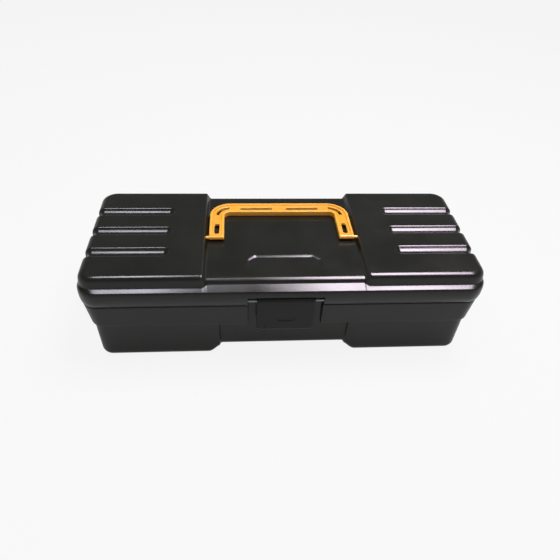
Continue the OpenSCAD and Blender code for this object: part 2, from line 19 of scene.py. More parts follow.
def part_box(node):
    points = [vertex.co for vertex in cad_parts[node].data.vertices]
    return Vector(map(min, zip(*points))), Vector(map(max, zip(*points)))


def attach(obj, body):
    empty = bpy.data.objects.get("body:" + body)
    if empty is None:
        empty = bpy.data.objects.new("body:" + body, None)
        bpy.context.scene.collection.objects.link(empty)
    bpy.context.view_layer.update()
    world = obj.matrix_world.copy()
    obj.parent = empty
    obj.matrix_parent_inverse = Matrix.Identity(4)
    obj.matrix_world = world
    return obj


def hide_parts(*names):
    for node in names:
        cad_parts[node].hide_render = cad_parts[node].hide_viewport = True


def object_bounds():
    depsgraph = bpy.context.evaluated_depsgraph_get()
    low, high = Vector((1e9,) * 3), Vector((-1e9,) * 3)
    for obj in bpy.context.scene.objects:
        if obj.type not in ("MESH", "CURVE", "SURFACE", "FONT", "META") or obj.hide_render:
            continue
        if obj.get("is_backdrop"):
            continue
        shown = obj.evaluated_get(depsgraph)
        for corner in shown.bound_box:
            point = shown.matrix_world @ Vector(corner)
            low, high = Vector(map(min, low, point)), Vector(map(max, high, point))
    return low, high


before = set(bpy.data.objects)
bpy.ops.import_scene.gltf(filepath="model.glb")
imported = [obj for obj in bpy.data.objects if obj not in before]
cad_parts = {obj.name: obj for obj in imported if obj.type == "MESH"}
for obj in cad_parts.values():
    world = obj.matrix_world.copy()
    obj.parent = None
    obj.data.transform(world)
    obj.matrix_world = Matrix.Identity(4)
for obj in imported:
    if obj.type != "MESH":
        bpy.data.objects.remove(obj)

LOG = logging.getLogger("toolbox")
MM = 0.001
WELD_M = 2e-6

Patch = tuple[NDArray, NDArray]
Values = float | NDArray


# ---------------------------------------------------------------- surfaces


def ease(t: NDArray) -> NDArray:
    """S-curve (1 - cos(pi t)) / 2, with t held between 0 and 1."""
    return (1.0 - np.cos(np.pi * np.clip(t, 0.0, 1.0))) / 2.0


def soft_min(a: NDArray, b: NDArray, k: float) -> NDArray:
    """Lower of two heights, with the corner between them rounded over a band k high.

    Args:
        a: First heights.
        b: Second heights.
        k: Difference in height, in mm, inside which the two run into each other.

    Returns:
        min(a, b) - h * h * k / 4, where h = max(k - |a - b|, 0) / k.
    """
    h = np.maximum(k - np.abs(a - b), 0.0) / k
    return np.minimum(a, b) - h * h * k / 4.0


def soft_max(a: NDArray, b: NDArray, k: float) -> NDArray:
    """Higher of two heights, with the corner between them rounded over a band k high."""
    return -soft_min(-a, -b, k)


def grid_faces(rows: int, cols: int, closed: bool = False) -> NDArray:
    """Quads of a grid of points that are stored row after row.

    Args:
        rows: Number of rows.
        cols: Number of points in a row.
        closed: Whether each row is a ring.

    Returns:
        Array of quads, each the indices of four points.
    """
    i = np.arange(rows - 1)[:, None]
    j = np.arange(cols if closed else cols - 1)[None, :]
    a = i * cols + j
    b = i * cols + (j + 1) % cols
    return np.stack([a, b, b + cols, a + cols], axis=-1).reshape(-1, 4)


def sheet_patch(points: NDArray, closed: bool = False) -> Patch:
    """Patch of a grid of points with the shape (rows, cols, 3)."""
    rows, cols = points.shape[:2]
    return points.reshape(-1, 3), grid_faces(rows, cols, closed)


def spread(*runs: tuple[float, float, float]) -> NDArray:
    """Stations along a line, run after run.

    Args:
        runs: Start, end and step of each run in mm; a run's end starts the next run.

    Returns:
        Ascending stations, with the last run's end.
    """
    parts = [
        np.linspace(a, b, max(1, round((b - a) / step)), endpoint=False)
        for a, b, step in runs
    ]
    return np.concatenate(parts + [np.array([runs[-1][1]])])


def arc(centre: tuple[float, float], radius: float, start: float, end: float, steps: int) -> NDArray:
    """Points centre + radius (cos t, sin t), for t from start to end in degrees."""
    t = np.radians(np.linspace(start, end, steps + 1))
    return np.stack([centre[0] + radius * np.cos(t), centre[1] + radius * np.sin(t)], axis=-1)


def softened(corners: NDArray, reach: float | NDArray, steps: int = 4) -> NDArray:
    """Closed outline with rounded corners.

    Each corner P turns into P + reach (u (1 - s)^2 + v s^2) for s from 0 to 1, a parabola whose
    ends lie the given reach before and after it; u and v point at the corners next to it.

    Args:
        corners: Corners with the shape (corners, 2).
        reach: Reach of the rounding, one value or one for each corner.
        steps: Number of steps in each corner.

    Returns:
        Points with the shape (points, 2).
    """
    before, after = np.roll(corners, 1, axis=0) - corners, np.roll(corners, -1, axis=0) - corners
    u = before / np.linalg.norm(before, axis=1, keepdims=True)
    v = after / np.linalg.norm(after, axis=1, keepdims=True)
    s = np.linspace(0.0, 1.0, steps + 1)[None, :, None]
    size = np.broadcast_to(np.asarray(reach, float), len(corners))[:, None, None]
    return (corners[:, None] + size * (u[:, None] * (1 - s) ** 2 + v[:, None] * s**2)).reshape(-1, 2)


def drawn_in(line: NDArray, by: float) -> NDArray:
    """Closed anticlockwise line with each point moved inwards, square to its two neighbours.

    Args:
        line: Points with the shape (points, 2).
        by: Distance of the move.

    Returns:
        The moved points.
    """
    way = np.roll(line, -1, axis=0) - np.roll(line, 1, axis=0)
    way = way / np.maximum(np.linalg.norm(way, axis=1, keepdims=True), 1e-9)
    return line + by * np.stack([-way[:, 1], way[:, 0]], axis=-1)


def bar_along(
    axis: int, outline: NDArray, start: float, end: float, edge: float, bore: NDArray | None = None
) -> Patch:
    """Bar or sleeve: an outline carried along an axis, with rounded end edges.

    At each end the outline is drawn in by edge (1 - sin t) while it moves edge (1 - cos t), for t
    from 0 to 90 degrees. Without a bore each end runs to the outline's middle.

    Args:
        axis: 0 for a bar along x with an outline in y and z, 1 for one along y in x and z.
        outline: Closed anticlockwise line with the shape (points, 2).
        start: Where the bar starts.
        end: Where it ends.
        edge: Radius of the end edges.
        bore: Closed line of a hole, with as many points, if there is one.

    Returns:
        The closed patch.
    """
    t = np.linspace(0.0, np.pi / 2, 4)
    inner = outline.mean(axis=0) + 0 * outline if bore is None else bore
    lines = np.stack([inner] + [drawn_in(outline, edge * (1 - v)) for v in np.sin(t)])
    place = np.concatenate([[0.0], edge * (1 - np.cos(t))])[:, None] + 0 * lines[..., 0]
    low = np.concatenate([(start + place)[..., None], lines], axis=-1)
    high = np.concatenate([(end - place)[..., None], lines], axis=-1)
    rings = np.concatenate([low, high[::-1]])
    if axis == 1:
        rings = rings[..., [1, 0, 2]]
    count, cols = rings.shape[:2]
    rows = count if bore is None else count + 1
    return rings.reshape(-1, 3), grid_faces(rows, cols, closed=True) % (count * cols)


@dataclass
class Rings:
    """Rounded rectangles stacked into a surface; each field holds one value per ring."""

    half_x: NDArray
    half_y: NDArray
    radius: NDArray
    height: NDArray
    back: NDArray
    rise: NDArray
    rear: NDArray

    @staticmethod
    def of(
        half_x: Values, half_y: Values, radius: Values, height: Values,
        back: Values = 0.0, rise: Values = 0.0, rear: Values | None = None,
    ) -> "Rings":
        """Rings from arrays or single values, all brought to one length.

        Args:
            half_x: Half lengths.
            half_y: Half depths.
            radius: Plan radii of the corners.
            height: Heights.
            back: Setback of the middle of the front.
            rise: Rise of the middle.
            rear: Setback of the middle of the rear, the same as back if left out.

        Returns:
            The rings.
        """
        rear = back if rear is None else rear
        given = (half_x, half_y, radius, height, back, rise, rear)
        values = np.broadcast_arrays(*[np.atleast_1d(np.asarray(v, float)) for v in given])
        return Rings(*[v.copy() for v in values])


@dataclass(frozen=True)
class Stations:
    """Where the points of a ring lie.

    middle runs from the centre line to the start of a straight run; back_share and rise_share
    say how much of the ring's setback and rise each of its points gets. run and side are shares.
    """

    middle: NDArray
    back_share: NDArray
    rise_share: NDArray
    run: NDArray
    side: NDArray
    turns: int = 12

    def _half(self, rings: Rings, setback: NDArray) -> NDArray:
        """Right half of the front row, from the centre line to the end of the box.

        The corner is (hx - r + r sin a, -hy + r - r cos a) for a from 0 to 90 degrees.

        Args:
            rings: The rings.
            setback: Setback of the middle of each ring.

        Returns:
            Points with the shape (rings, points, 3).
        """
        hx, hy, r, z = (v[:, None] for v in (rings.half_x, rings.half_y, rings.radius, rings.height))
        one = np.ones_like(hx)
        reach = self.middle[-1]
        x_run = reach + self.run[None, :] * (hx - r - reach)
        a = np.linspace(0.0, np.pi / 2, self.turns + 1)[None, :]
        x = np.concatenate([one * self.middle, x_run, hx - r + r * np.sin(a)], axis=1)
        y = np.concatenate(
            [-hy + setback[:, None] * self.back_share, -hy + 0 * x_run, -hy + r - r * np.cos(a)], axis=1
        )
        zz = np.concatenate(
            [z + rings.rise[:, None] * self.rise_share, z + 0 * x_run, z + 0 * a], axis=1
        )
        return np.stack([x, y, zz], axis=-1)

    def points(self, rings: Rings) -> NDArray:
        """Points of the rings, in order: front row, right end, rear row, left end.

        Args:
            rings: The rings.

        Returns:
            Points with the shape (rings, points, 3).
        """
        front = self._half(rings, rings.back)
        rear = self._half(rings, rings.rear)
        flip_x = np.array([-1.0, 1.0, 1.0])
        front = np.concatenate([front[:, :0:-1] * flip_x, front], axis=1)
        rear = np.concatenate([rear[:, :0:-1] * flip_x, rear], axis=1) * np.array([1.0, -1.0, 1.0])
        y = (rings.half_y - rings.radius)[:, None] * self.side[None, :]
        x = rings.half_x[:, None] + 0 * y
        z = rings.height[:, None] + 0 * y
        right = np.stack([x, y, z], axis=-1)
        left = np.stack([-x, y, z], axis=-1)
        return np.concatenate([front, right, rear[:, ::-1], left[:, ::-1]], axis=1)

    @property
    def front_count(self) -> int:
        """Number of points in a front row."""
        return 2 * (len(self.middle) + len(self.run) + self.turns + 1) - 1

    def cap(self, ring: NDArray, keep_x: float, keep_y: float) -> NDArray:
        """Plan of a sheet that closes a ring.

        Inside |x| < keep_x and |y| < keep_y the lines stay straight. Outside, each line keeps its
        share of the way from there to the ring, which it meets at the ring's own points.

        Args:
            ring: Points of the ring, with the shape (points, 3).
            keep_x: Reach of the straight lines along x.
            keep_y: Reach of the straight lines along y.

        Returns:
            Plan points with the shape (columns, rows, 2).
        """
        nf, ns, half = self.front_count, len(self.side), self.turns // 2
        front = ring[:nf, :2]
        right = ring[nf : nf + ns, :2]
        rear = ring[nf + ns : 2 * nf + ns, :2][::-1]
        low = front[half : nf - half]
        high = rear[half : nf - half]
        end = np.concatenate([front[nf - half - 1 :], right, rear[nf - half - 1 :][::-1]])
        x_line, y_line = low[:, 0], end[:, 1]
        x_edge, y_edge = np.abs(x_line).max(), np.abs(y_line).max()

        def bend(line: NDArray, edge: NDArray, keep: float, most: float) -> NDArray:
            """Moves the part of a line past keep by its share of the way to the edge."""
            share = np.clip((np.abs(line) - keep) / (most - keep), 0.0, 1.0)
            bent = np.sign(line) * (keep + share * (edge - keep))
            return np.where(np.abs(line) > keep, bent, line)

        x = bend(x_line[:, None] + 0 * y_line[None, :], end[:, 0][None, :], keep_x, x_edge)
        edge_y = np.where(y_line[None, :] < 0, -low[:, 1][:, None], high[:, 1][:, None])
        y = bend(y_line[None, :] + 0 * x_line[:, None], edge_y, keep_y, y_edge)
        return np.stack([x, y], axis=-1)


def make_piece(name: str, patches: list[Patch], shift_y: float, sharp: float = 32.0) -> bpy.types.Object:
    """Object from patches, welded where they meet, with its faces pointing outwards.

    Args:
        name: Name of the piece.
        patches: Points in mm and quads of each patch.
        shift_y: Distance from the box's own centre line to the centre of the frame, in mm.
        sharp: Angle in degrees over which an edge is shaded sharp.

    Returns:
        The object, at the origin, unturned and unscaled.
    """
    points, quads, start = [], [], 0
    for p, q in patches:
        points.append(p)
        quads.append(q + start)
        start += len(p)
    co = (np.concatenate(points) + np.array([0.0, shift_y, 0.0])) * MM
    faces = np.concatenate(quads).astype(np.int32)
    mesh = bpy.data.meshes.new(name)
    mesh.vertices.add(len(co))
    mesh.vertices.foreach_set("co", co.astype(np.float32).ravel())
    mesh.loops.add(faces.size)
    mesh.loops.foreach_set("vertex_index", faces.ravel())
    mesh.polygons.add(len(faces))
    mesh.polygons.foreach_set("loop_start", np.arange(0, faces.size, 4, dtype=np.int32))
    mesh.update(calc_edges=True)
    work = bmesh.new()
    work.from_mesh(mesh)
    bmesh.ops.remove_doubles(work, verts=work.verts, dist=WELD_M)
    bmesh.ops.recalc_face_normals(work, faces=work.faces)
    work.to_mesh(mesh)
    work.free()
    mesh.polygons.foreach_set("use_smooth", np.ones(len(mesh.polygons), dtype=bool))
    mesh.set_sharp_from_angle(angle=math.radians(sharp))
    mesh.update()
    obj = bpy.data.objects.new(name, mesh)
    bpy.context.scene.collection.objects.link(obj)
    return obj


# ---------------------------------------------------------------- finishes


def linear(code: str) -> tuple[float, float, float, float]:
    """Linear RGBA of an sRGB colour.

    Args:
        code: The colour as six hex digits, such as "f07f12".

    Returns:
        Red, green, blue and full opacity.
    """
    c = np.array([int(code[i : i + 2], 16) / 255.0 for i in (0, 2, 4)])
    c = np.where(c <= 0.04045, c / 12.92, ((c + 0.055) / 1.055) ** 2.4)
    return float(c[0]), float(c[1]), float(c[2]), 1.0


def add_node(
    tree: bpy.types.NodeTree, kind: str, inputs: dict[str | int, object] | None = None, **settings: object
) -> bpy.types.Node:
    """Adds a node with its settings, values and links.

    Args:
        tree: Node tree of a material or the world.
        kind: Blender's name of the node type, without "ShaderNode".
        inputs: Value or linked output socket of each input, by its name or number.
        settings: Properties of the node.

    Returns:
        The node.
    """
    node = tree.nodes.new("ShaderNode" + kind)
    for key, value in settings.items():
        setattr(node, key, value)
    for key, value in (inputs or {}).items():
        if isinstance(value, bpy.types.NodeSocket):
            tree.links.new(value, node.inputs[key])
        else:
            node.inputs[key].default_value = value
    return node


def remap(
    tree: bpy.types.NodeTree, value: bpy.types.NodeSocket, source: tuple[float, float],
    target: tuple[float, float], **settings: object,
) -> bpy.types.NodeSocket:
    """Adds a node that carries one range of a value over to another.

    Args:
        tree: Node tree of a material or the world.
        value: Socket of the value.
        source: Range of the value that counts.
        target: Range that it becomes.
        settings: Properties of the node.

    Returns:
        Socket of the result.
    """
    ends = {
        "Value": value, "From Min": source[0], "From Max": source[1],
        "To Min": target[0], "To Max": target[1],
    }
    return add_node(tree, "MapRange", ends, **settings).outputs[0]


def combine(
    tree: bpy.types.NodeTree, operation: str, first: bpy.types.NodeSocket, second: bpy.types.NodeSocket
) -> bpy.types.NodeSocket:
    """Socket of a new math node over two values."""
    return add_node(tree, "Math", {0: first, 1: second}, operation=operation).outputs[0]


def blank_material(name: str) -> bpy.types.Material:
    """New material with an empty node tree."""
    mat = bpy.data.materials.new(name)
    mat.use_nodes = True
    mat.node_tree.nodes.clear()
    return mat


@dataclass(frozen=True)
class MouldedPlastic:
    """Injection-moulded polypropylene with a spark-eroded grain.

    The grain breaks a highlight into a soft, sandy sheen. Convex edges are painted in a paler tone, partly
    as wear from handling and partly as a painted highlight along them.
    """

    name: str
    colour: str
    # Paler tone of convex edges: partly wear, partly a painted highlight
    wear_and_highlight_tone: str
    roughness: float = 0.42
    specular: float = 0.5
    grain_mm: float = 0.55
    grain_depth_mm: float = 0.05
    cloud_mm: float = 38.0
    # How far convex edges go towards that tone, as wear and as painted highlight
    wear_and_highlight_share: float = 0.5

    def material(self) -> bpy.types.Material:
        """Builds the material: grain bump, cloudy roughness, uneven colour, paler edges of wear and painted
        highlight.

        Returns:
            The material.
        """
        mat = blank_material(self.name)
        tree = mat.node_tree
        place = add_node(tree, "TexCoord").outputs["Object"]
        # The real grain is about 0.1 mm; it is drawn coarser so that it shows at all.
        grain = add_node(tree, "TexNoise", {
            "Vector": place, "Scale": 1.0 / (self.grain_mm * MM), "Detail": 2.0, "Roughness": 0.65,
        }).outputs[0]
        cloud = add_node(tree, "TexNoise", {
            "Vector": place, "Scale": 1.0 / (self.cloud_mm * MM), "Detail": 3.0,
        }).outputs[0]
        # Convex edges, found by pointiness, get the paler tone: partly wear, partly a painted highlight
        edge = add_node(tree, "NewGeometry").outputs["Pointiness"]
        wear_and_highlight = remap(tree, edge, (0.51, 0.60), (0.0, self.wear_and_highlight_share))
        patchy = remap(tree, cloud, (0.35, 0.65), (0.0, 0.16))
        speck = remap(tree, grain, (0.35, 0.70), (0.0, 0.22))
        amount = combine(tree, "ADD", combine(tree, "ADD", wear_and_highlight, patchy), speck)
        rough = remap(tree, cloud, (0.3, 0.7), (self.roughness - 0.04, self.roughness + 0.05))
        bump = add_node(tree, "Bump", {
            "Height": grain, "Strength": 0.9, "Distance": self.grain_depth_mm * MM,
        })
        shader = add_node(tree, "BsdfPrincipled", {
            "Base Color": self._tint(tree, amount), "Roughness": rough, "Normal": bump.outputs[0],
            "IOR": 1.49, "Specular IOR Level": self.specular,
        })
        add_node(tree, "OutputMaterial", {"Surface": shader.outputs[0]})
        return mat

    def _tint(self, tree: bpy.types.NodeTree, amount: bpy.types.NodeSocket) -> bpy.types.NodeSocket:
        """Colour between the fresh tone and the paler one of wear and painted edge highlight.

        Args:
            tree: Node tree of the material.
            amount: Share of the paler tone, from wear, painted edge highlight and random tone, from 0 to 1.

        Returns:
            The colour socket.
        """
        # The colour inputs and the output of a Mix node share their names, so they go by number
        # The second tone paints convex edges paler, as wear and as a painted highlight
        fresh, wear_and_highlight = linear(self.colour), linear(self.wear_and_highlight_tone)
        return add_node(
            tree, "Mix", {0: amount, 6: fresh, 7: wear_and_highlight}, data_type="RGBA", clamp_factor=True
        ).outputs[2]


@dataclass(frozen=True)
class DrawnSteel:
    """Zinc-plated drawn steel wire: bright, with fine lines along the pin."""

    name: str
    colour: str = "8f9297"
    roughness: float = 0.34
    line_mm: float = 0.25
    line_depth_mm: float = 0.01
    stretch: float = 0.04

    def material(self) -> bpy.types.Material:
        """Builds the material: lines along x as bump over bare metal.

        Returns:
            The material.
        """
        mat = blank_material(self.name)
        tree = mat.node_tree
        place = add_node(tree, "TexCoord").outputs["Object"]
        long = add_node(tree, "Mapping", {"Vector": place, "Scale": (self.stretch, 1.0, 1.0)})
        lines = add_node(tree, "TexNoise", {
            "Vector": long.outputs[0], "Scale": 1.0 / (self.line_mm * MM), "Detail": 2.0,
        }).outputs[0]
        rough = remap(tree, lines, (0.0, 1.0), (self.roughness - 0.06, self.roughness + 0.08))
        bump = add_node(tree, "Bump", {
            "Height": lines, "Strength": 0.4, "Distance": self.line_depth_mm * MM,
        })
        shader = add_node(tree, "BsdfPrincipled", {
            "Base Color": linear(self.colour), "Metallic": 1.0, "Roughness": rough,
            "Normal": bump.outputs[0],
        })
        add_node(tree, "OutputMaterial", {"Surface": shader.outputs[0]})
        return mat


class Finish(Enum):
    """The finishes of the box, one per material slot of the record."""

    # Each second tone is painted on convex edges, as wear and as a painted highlight
    BODY = MouldedPlastic(
        "black_polypropylene", "171813", "2a2b26", roughness=0.2, specular=0.46, grain_depth_mm=0.032
    )
    # The handle's pale yellow edge tone at full share is mostly a painted highlight along its borders
    HANDLE = MouldedPlastic(
        "orange_polypropylene", "f6a01f", "ffd261", roughness=0.32, grain_depth_mm=0.02, wear_and_highlight_share=1.0
    )
    LATCH = MouldedPlastic(
        "black_acetal", "1a1b18", "2c2d2a", roughness=0.30, specular=0.28, grain_depth_mm=0.03
    )
    TRAY = MouldedPlastic("dark_grey_polypropylene", "2b2b2b", "444444", roughness=0.45)
    PIN = DrawnSteel("zinc_plated_steel")

    def dress(self, obj: bpy.types.Object) -> None:
        """Gives an object this finish in all its slots.

        Args:
            obj: A new piece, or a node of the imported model.
        """
        mat = bpy.data.materials.get(self.value.name) or self.value.material()
        if not obj.data.materials:
            obj.data.materials.append(mat)
        for i in range(len(obj.material_slots)):
            obj.material_slots[i].material = mat


# ---------------------------------------------------------------- sizes shared by the mouldings


@dataclass(frozen=True)
class Overall:
    """Sizes that base and lid share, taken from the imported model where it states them."""

    half_l: float
    half_d: float
    top: float
    parting: float
    shift_y: float
    latch_pin_z: float
    corner_r: float = 16.0
    wall: float = 2.2
    gap: float = 0.4
    skirt_in_x: float = 1.3
    skirt_in_y: float = 4.2
    pocket_half: float = 29.5
    pocket_edge: float = 0.8
    latch_pin_y: float = 65.2
    corner_share: float = 0.8

    @property
    def inner_shift(self) -> float:
        """How much further out a sloping step lies on the inside of a wall."""
        return 0.9 * self.wall

    @staticmethod
    def from_frame() -> "Overall":
        """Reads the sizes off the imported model.

        Returns:
            The shared sizes in mm.
        """
        lid_low, lid_high = (np.array(c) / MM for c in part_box("lid_shell"))
        pin_low, pin_high = (np.array(c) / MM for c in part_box("latch_pin"))
        hinge_low, hinge_high = (np.array(c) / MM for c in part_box("hinge_pin_left"))
        shift = float((pin_low[1] + pin_high[1]) / 2 + Overall.latch_pin_y)
        return Overall(
            half_l=float(lid_high[0] - lid_low[0]) / 2,
            half_d=float(shift - lid_low[1]),
            top=float(lid_high[2]),
            parting=float(hinge_low[2] + hinge_high[2]) / 2,
            shift_y=shift,
            latch_pin_z=float(pin_low[2] + pin_high[2]) / 2,
        )

    def inset(
        self, ix: Values, iy: Values, z: Values, back: Values = 0.0, rise: Values = 0.0,
        rear: Values | None = None,
    ) -> Rings:
        """Rings drawn in from the bulge, with corners that tighten as they go in.

        Args:
            ix: Insets at the ends.
            iy: Insets at the front and rear.
            z: Heights.
            back: Setback of the middle of the front.
            rise: Rise of the middle.
            rear: Setback of the middle of the rear, the same as back if left out.

        Returns:
            The rings.
        """
        ix, iy = np.asarray(ix, float), np.asarray(iy, float)
        radius = self.corner_r - self.corner_share * iy
        return Rings.of(self.half_l - ix, self.half_d - iy, radius, z, back, rise, rear)

    def within(self, place: NDArray, limit: float) -> NDArray:
        """Share from 1 inside a limit to 0 outside it, along an S-curve as wide as a pocket's edge."""
        return ease((limit + self.pocket_edge / 2 - place) / self.pocket_edge)

    def notch(self, points: NDArray, half: float, top: float, depth_y: float) -> NDArray:
        """Pushes the front of a surface back into a pocket with drafted walls.

        y becomes y + m (-depth_y - y), where m is the product of an S-curve across each side of
        the pocket and one across its top, each as wide as the pocket's edge.

        Args:
            points: Points of the surface.
            half: Half width of the pocket.
            top: Height of its top.
            depth_y: Distance of its back from the centre line.

        Returns:
            The moved points.
        """
        x, y, z = points[..., 0], points[..., 1], points[..., 2]
        m = self.within(np.abs(x), half) * self.within(z, top) * (y < -self.half_d / 2)
        moved = points.copy()
        moved[..., 1] = y + m * (-depth_y - y)
        return moved


@dataclass
class Piece:
    """A finished piece, its body and what it stands for."""

    obj: bpy.types.Object
    body: str
    slot: str
    finish: Finish
    nodes: tuple[str, ...] = ()

    def settle(self) -> None:
        """Dresses the piece and hands it to the frame."""
        self.finish.dress(self.obj)
        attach(self.obj, self.body)
        if self.nodes:
            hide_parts(*self.nodes)
        LOG.info("%s: %d faces on body %s", self.obj.name, len(self.obj.data.polygons), self.body)


# ---------------------------------------------------------------- rear hinges


@dataclass
class Knuckles:
    """Hinge knuckles: an eye round each pin that runs into a web on its wall."""

    size: Overall
    pin_d: float = 3.0
    outer_d: float = 6.4
    outer_l: float = 12.0
    inner_l: float = 14.0
    play: float = 0.3
    root: float = 62.9
    edge: float = 0.4

    def outline(self, centre: NDArray, side: float) -> NDArray:
        """Outline of an eye and its web, in the plane of y and z.

        Three quarters of a circle round the pin, then along the web's flat side to the wall,
        where it flares out, and back level with the eye.

        Args:
            centre: Pin axis (y, z).
            side: 1 where the web lies above the pin's level, -1 below.

        Returns:
            Closed anticlockwise line.
        """
        r = self.outer_d / 2
        reach = self.root - centre[0]
        web = np.array([
            [-r - 0.2, -0.3], [reach, -0.3], [reach, -r - 1.4], [reach + 2.4, -r - 0.3], [reach + 3.6, -r],
        ])
        line = np.concatenate([arc((0.0, 0.0), r, -90.0, 176.0, 30), web])
        if side > 0:
            line = (line * np.array([1.0, -1.0]))[::-1]
        return line + centre

    def patches(self, side: float) -> list[Patch]:
        """Knuckles of one moulding at both hinges.

        The hole's points are centre + pin_r w, with w the way to the outline's own points.

        Args:
            side: 1 for the lid's middle knuckles, -1 for the base's outer pairs.

        Returns:
            One closed patch per knuckle.
        """
        made = []
        step = (self.inner_l + self.outer_l) / 2 + self.play
        places = [(0.0, self.inner_l)] if side > 0 else [(-step, self.outer_l), (step, self.outer_l)]
        for node in ("hinge_pin_left", "hinge_pin_right"):
            low, high = (np.array(c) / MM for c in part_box(node))
            middle = (low + high) / 2 - np.array([0.0, self.size.shift_y, 0.0])
            line = self.outline(middle[1:], side)
            way = line - middle[1:]
            hole = middle[1:] + self.pin_d / 2 * way / np.linalg.norm(way, axis=1, keepdims=True)
            for place, length in places:
                x = middle[0] + place
                made.append(bar_along(0, line, x - length / 2, x + length / 2, self.edge, hole))
        return made


# ---------------------------------------------------------------- lid


@dataclass
class Lid:
    """The lid: a bulging skirt, a sloping shelf, two grooved end blocks and a sunk centre band."""

    size: Overall
    bulge_up: float = 13.0
    shelf_up: float = 18.3
    block_in_x: float = 1.3
    block_in_y: float = 4.7
    block_draft: float = 0.5
    edge_r: float = 4.6
    end_r: float = 6.0
    band_half: float = 61.2
    band_drop: float = 4.8
    band_in_y: float = 12.4
    band_foot: float = 2.8
    rear_share: float = 0.6
    step_w: float = 3.9
    turn_r: float = 5.5
    shoulder_in_x: float = 1.0
    shoulder_in_y: float = 1.7
    shelf_slope: float = math.tan(math.radians(22.0))
    groove_pitch: float = 29.2
    groove_w: float = 12.6
    groove_depth: float = 3.0
    groove_lip: float = 0.9
    groove_lip_r: float = 2.0
    groove_inside: float = 0.55
    groove_x: float = 90.5
    scoop_half: float = 29.0
    scoop_depth: float = 1.2
    scoop_back: float = 29.4
    scoop_l: float = 20.0
    scoop_flare: float = 5.5
    scoop_rim: float = 0.6
    scoop_steep: float = 0.9
    scoop_foot: float = 0.5
    scoop_lip: float = 0.35
    recess_back: float = 61.1
    pocket_over_pin: float = 4.5
    cheek: float = 3.0
    tongue_in: float = 2.5
    tongue_t: float = 1.2
    tongue_drop: float = 1.6
    handle_reach: float = 50.4
    pivot_down: float = 1.9

    @property
    def bottom(self) -> float:
        """Height of the lid's lower edge."""
        return self.size.parting + self.size.gap / 2

    @property
    def pocket_top(self) -> float:
        """Height of the top of the latch recess."""
        return self.size.latch_pin_z + self.pocket_over_pin

    def stations(self, shift: float) -> Stations:
        """Points of a ring of the lid; the step's foot turns outwards through a quarter circle.

        Along the turn x = band_half + shift + turn_r (1 - sin a), the setback share is 1 - cos a,
        and the share of the drop falls along an S-curve over the step's width.

        Args:
            shift: How far the step lies further out, for the inside of the lid.

        Returns:
            The stations.
        """
        near = self.band_half - 1.0
        flat = spread(
            (0.0, 20.0, 2.5), (20.0, 28.4, 1.2), (28.4, 30.4, 0.2), (30.4, 31.8, 0.7), (31.8, 33.4, 0.2),
            (33.4, near, 2.6), (near, self.band_half, 0.5),
        )
        turn = self.turn_r * (1 - np.sin(np.linspace(np.pi / 2, 0.0, 25)))
        middle = np.concatenate([flat[:-1], self.band_half + shift + turn])
        back = np.concatenate([np.ones(len(flat) - 1), 1 - np.cos(np.linspace(np.pi / 2, 0.0, 25))])
        rise = np.concatenate([np.ones(len(flat) - 1), 1 - ease(turn / self.step_w)])
        start, end = self.band_half + self.turn_r, self.size.half_l - self.size.corner_r
        run = spread((start, self.groove_x - 2.0, 2.4), (self.groove_x - 2.0, self.groove_x + 7.0, 0.5),
                     (self.groove_x + 7.0, end, 3.0))
        run = ((run - start) / (end - start))[1:-1]
        reach = self.size.half_d - self.size.corner_r
        lip = self.groove_w / 2
        side = []
        for centre in (-self.groove_pitch, 0.0, self.groove_pitch):
            side.append(centre + spread((-lip - 1.4, -lip - 0.4, 0.5), (-lip - 0.4, -lip + 2.2, 0.35),
                                        (-lip + 2.2, lip - 2.2, 1.1), (lip - 2.2, lip + 0.4, 0.35),
                                        (lip + 0.4, lip + 1.4, 0.5)))
        for low in (-self.groove_pitch, 0.0):
            side.append(spread((low + lip + 2.2, low + self.groove_pitch - lip - 2.2, 2.2)))
        outer = spread((self.groove_pitch + lip + 2.4, reach - 1.0, 2.2))
        side += [outer, -outer]
        side = np.sort(np.concatenate(side)) / reach
        return Stations(middle, back, rise, run, side)

    def skirt(self, skin: float) -> Rings:
        """Rings of the skirt, from the parting line over the bulge to the shelf.

        Below the bulge the inset is skirt_in s ** 2.4 with s the share of the way down. The
        shoulder is a quarter ellipse that stops where it is as steep as the shelf.

        Args:
            skin: Distance inwards from the outside.

        Returns:
            The rings.
        """
        o = self.size
        bulge_z = o.parting + self.bulge_up
        shelf_z = o.parting + self.shelf_up
        top = self.pocket_top + (o.wall if skin > 0 else 0.0)
        z = np.concatenate([
            self.bottom + np.array([0.0, 0.12, 0.35, 0.7]),
            spread((self.bottom + 1.5, top - 0.6, 1.4), (top - 0.6, top + 0.6, 0.2)),
        ])
        z = z[z < bulge_z - 0.2]
        s = ((bulge_z - z) / (bulge_z - self.bottom)) ** 2.4
        shoulder_z = shelf_z - self.shelf_slope * (self.block_in_y - self.shoulder_in_y) - skin / 2
        high = shoulder_z - bulge_z
        last = math.atan(high / (self.shoulder_in_y * self.shelf_slope))
        a = np.linspace(0.0, last, 11)
        round_in = 1 - np.cos(a)
        ix = np.concatenate([o.skirt_in_x * s, self.shoulder_in_x * round_in])
        iy = np.concatenate([o.skirt_in_y * s, self.shoulder_in_y * round_in])
        # The lower edge is rounded off by a few tenths
        lower = np.zeros(len(ix))
        if skin == 0:
            lower[:4] = [0.45, 0.22, 0.06, 0.0]
        height = np.concatenate([z, bulge_z + high * np.sin(a)])
        return o.inset(skin + ix + lower, skin + iy + lower, height)

    @staticmethod
    def turned_in(r: float, up: NDArray) -> NDArray:
        """How far an edge of radius r has turned inwards at a height up above its start."""
        return r * (1 - np.sqrt(np.maximum(1 - np.clip(up / r, 0.0, 1.0) ** 2, 0.0)))

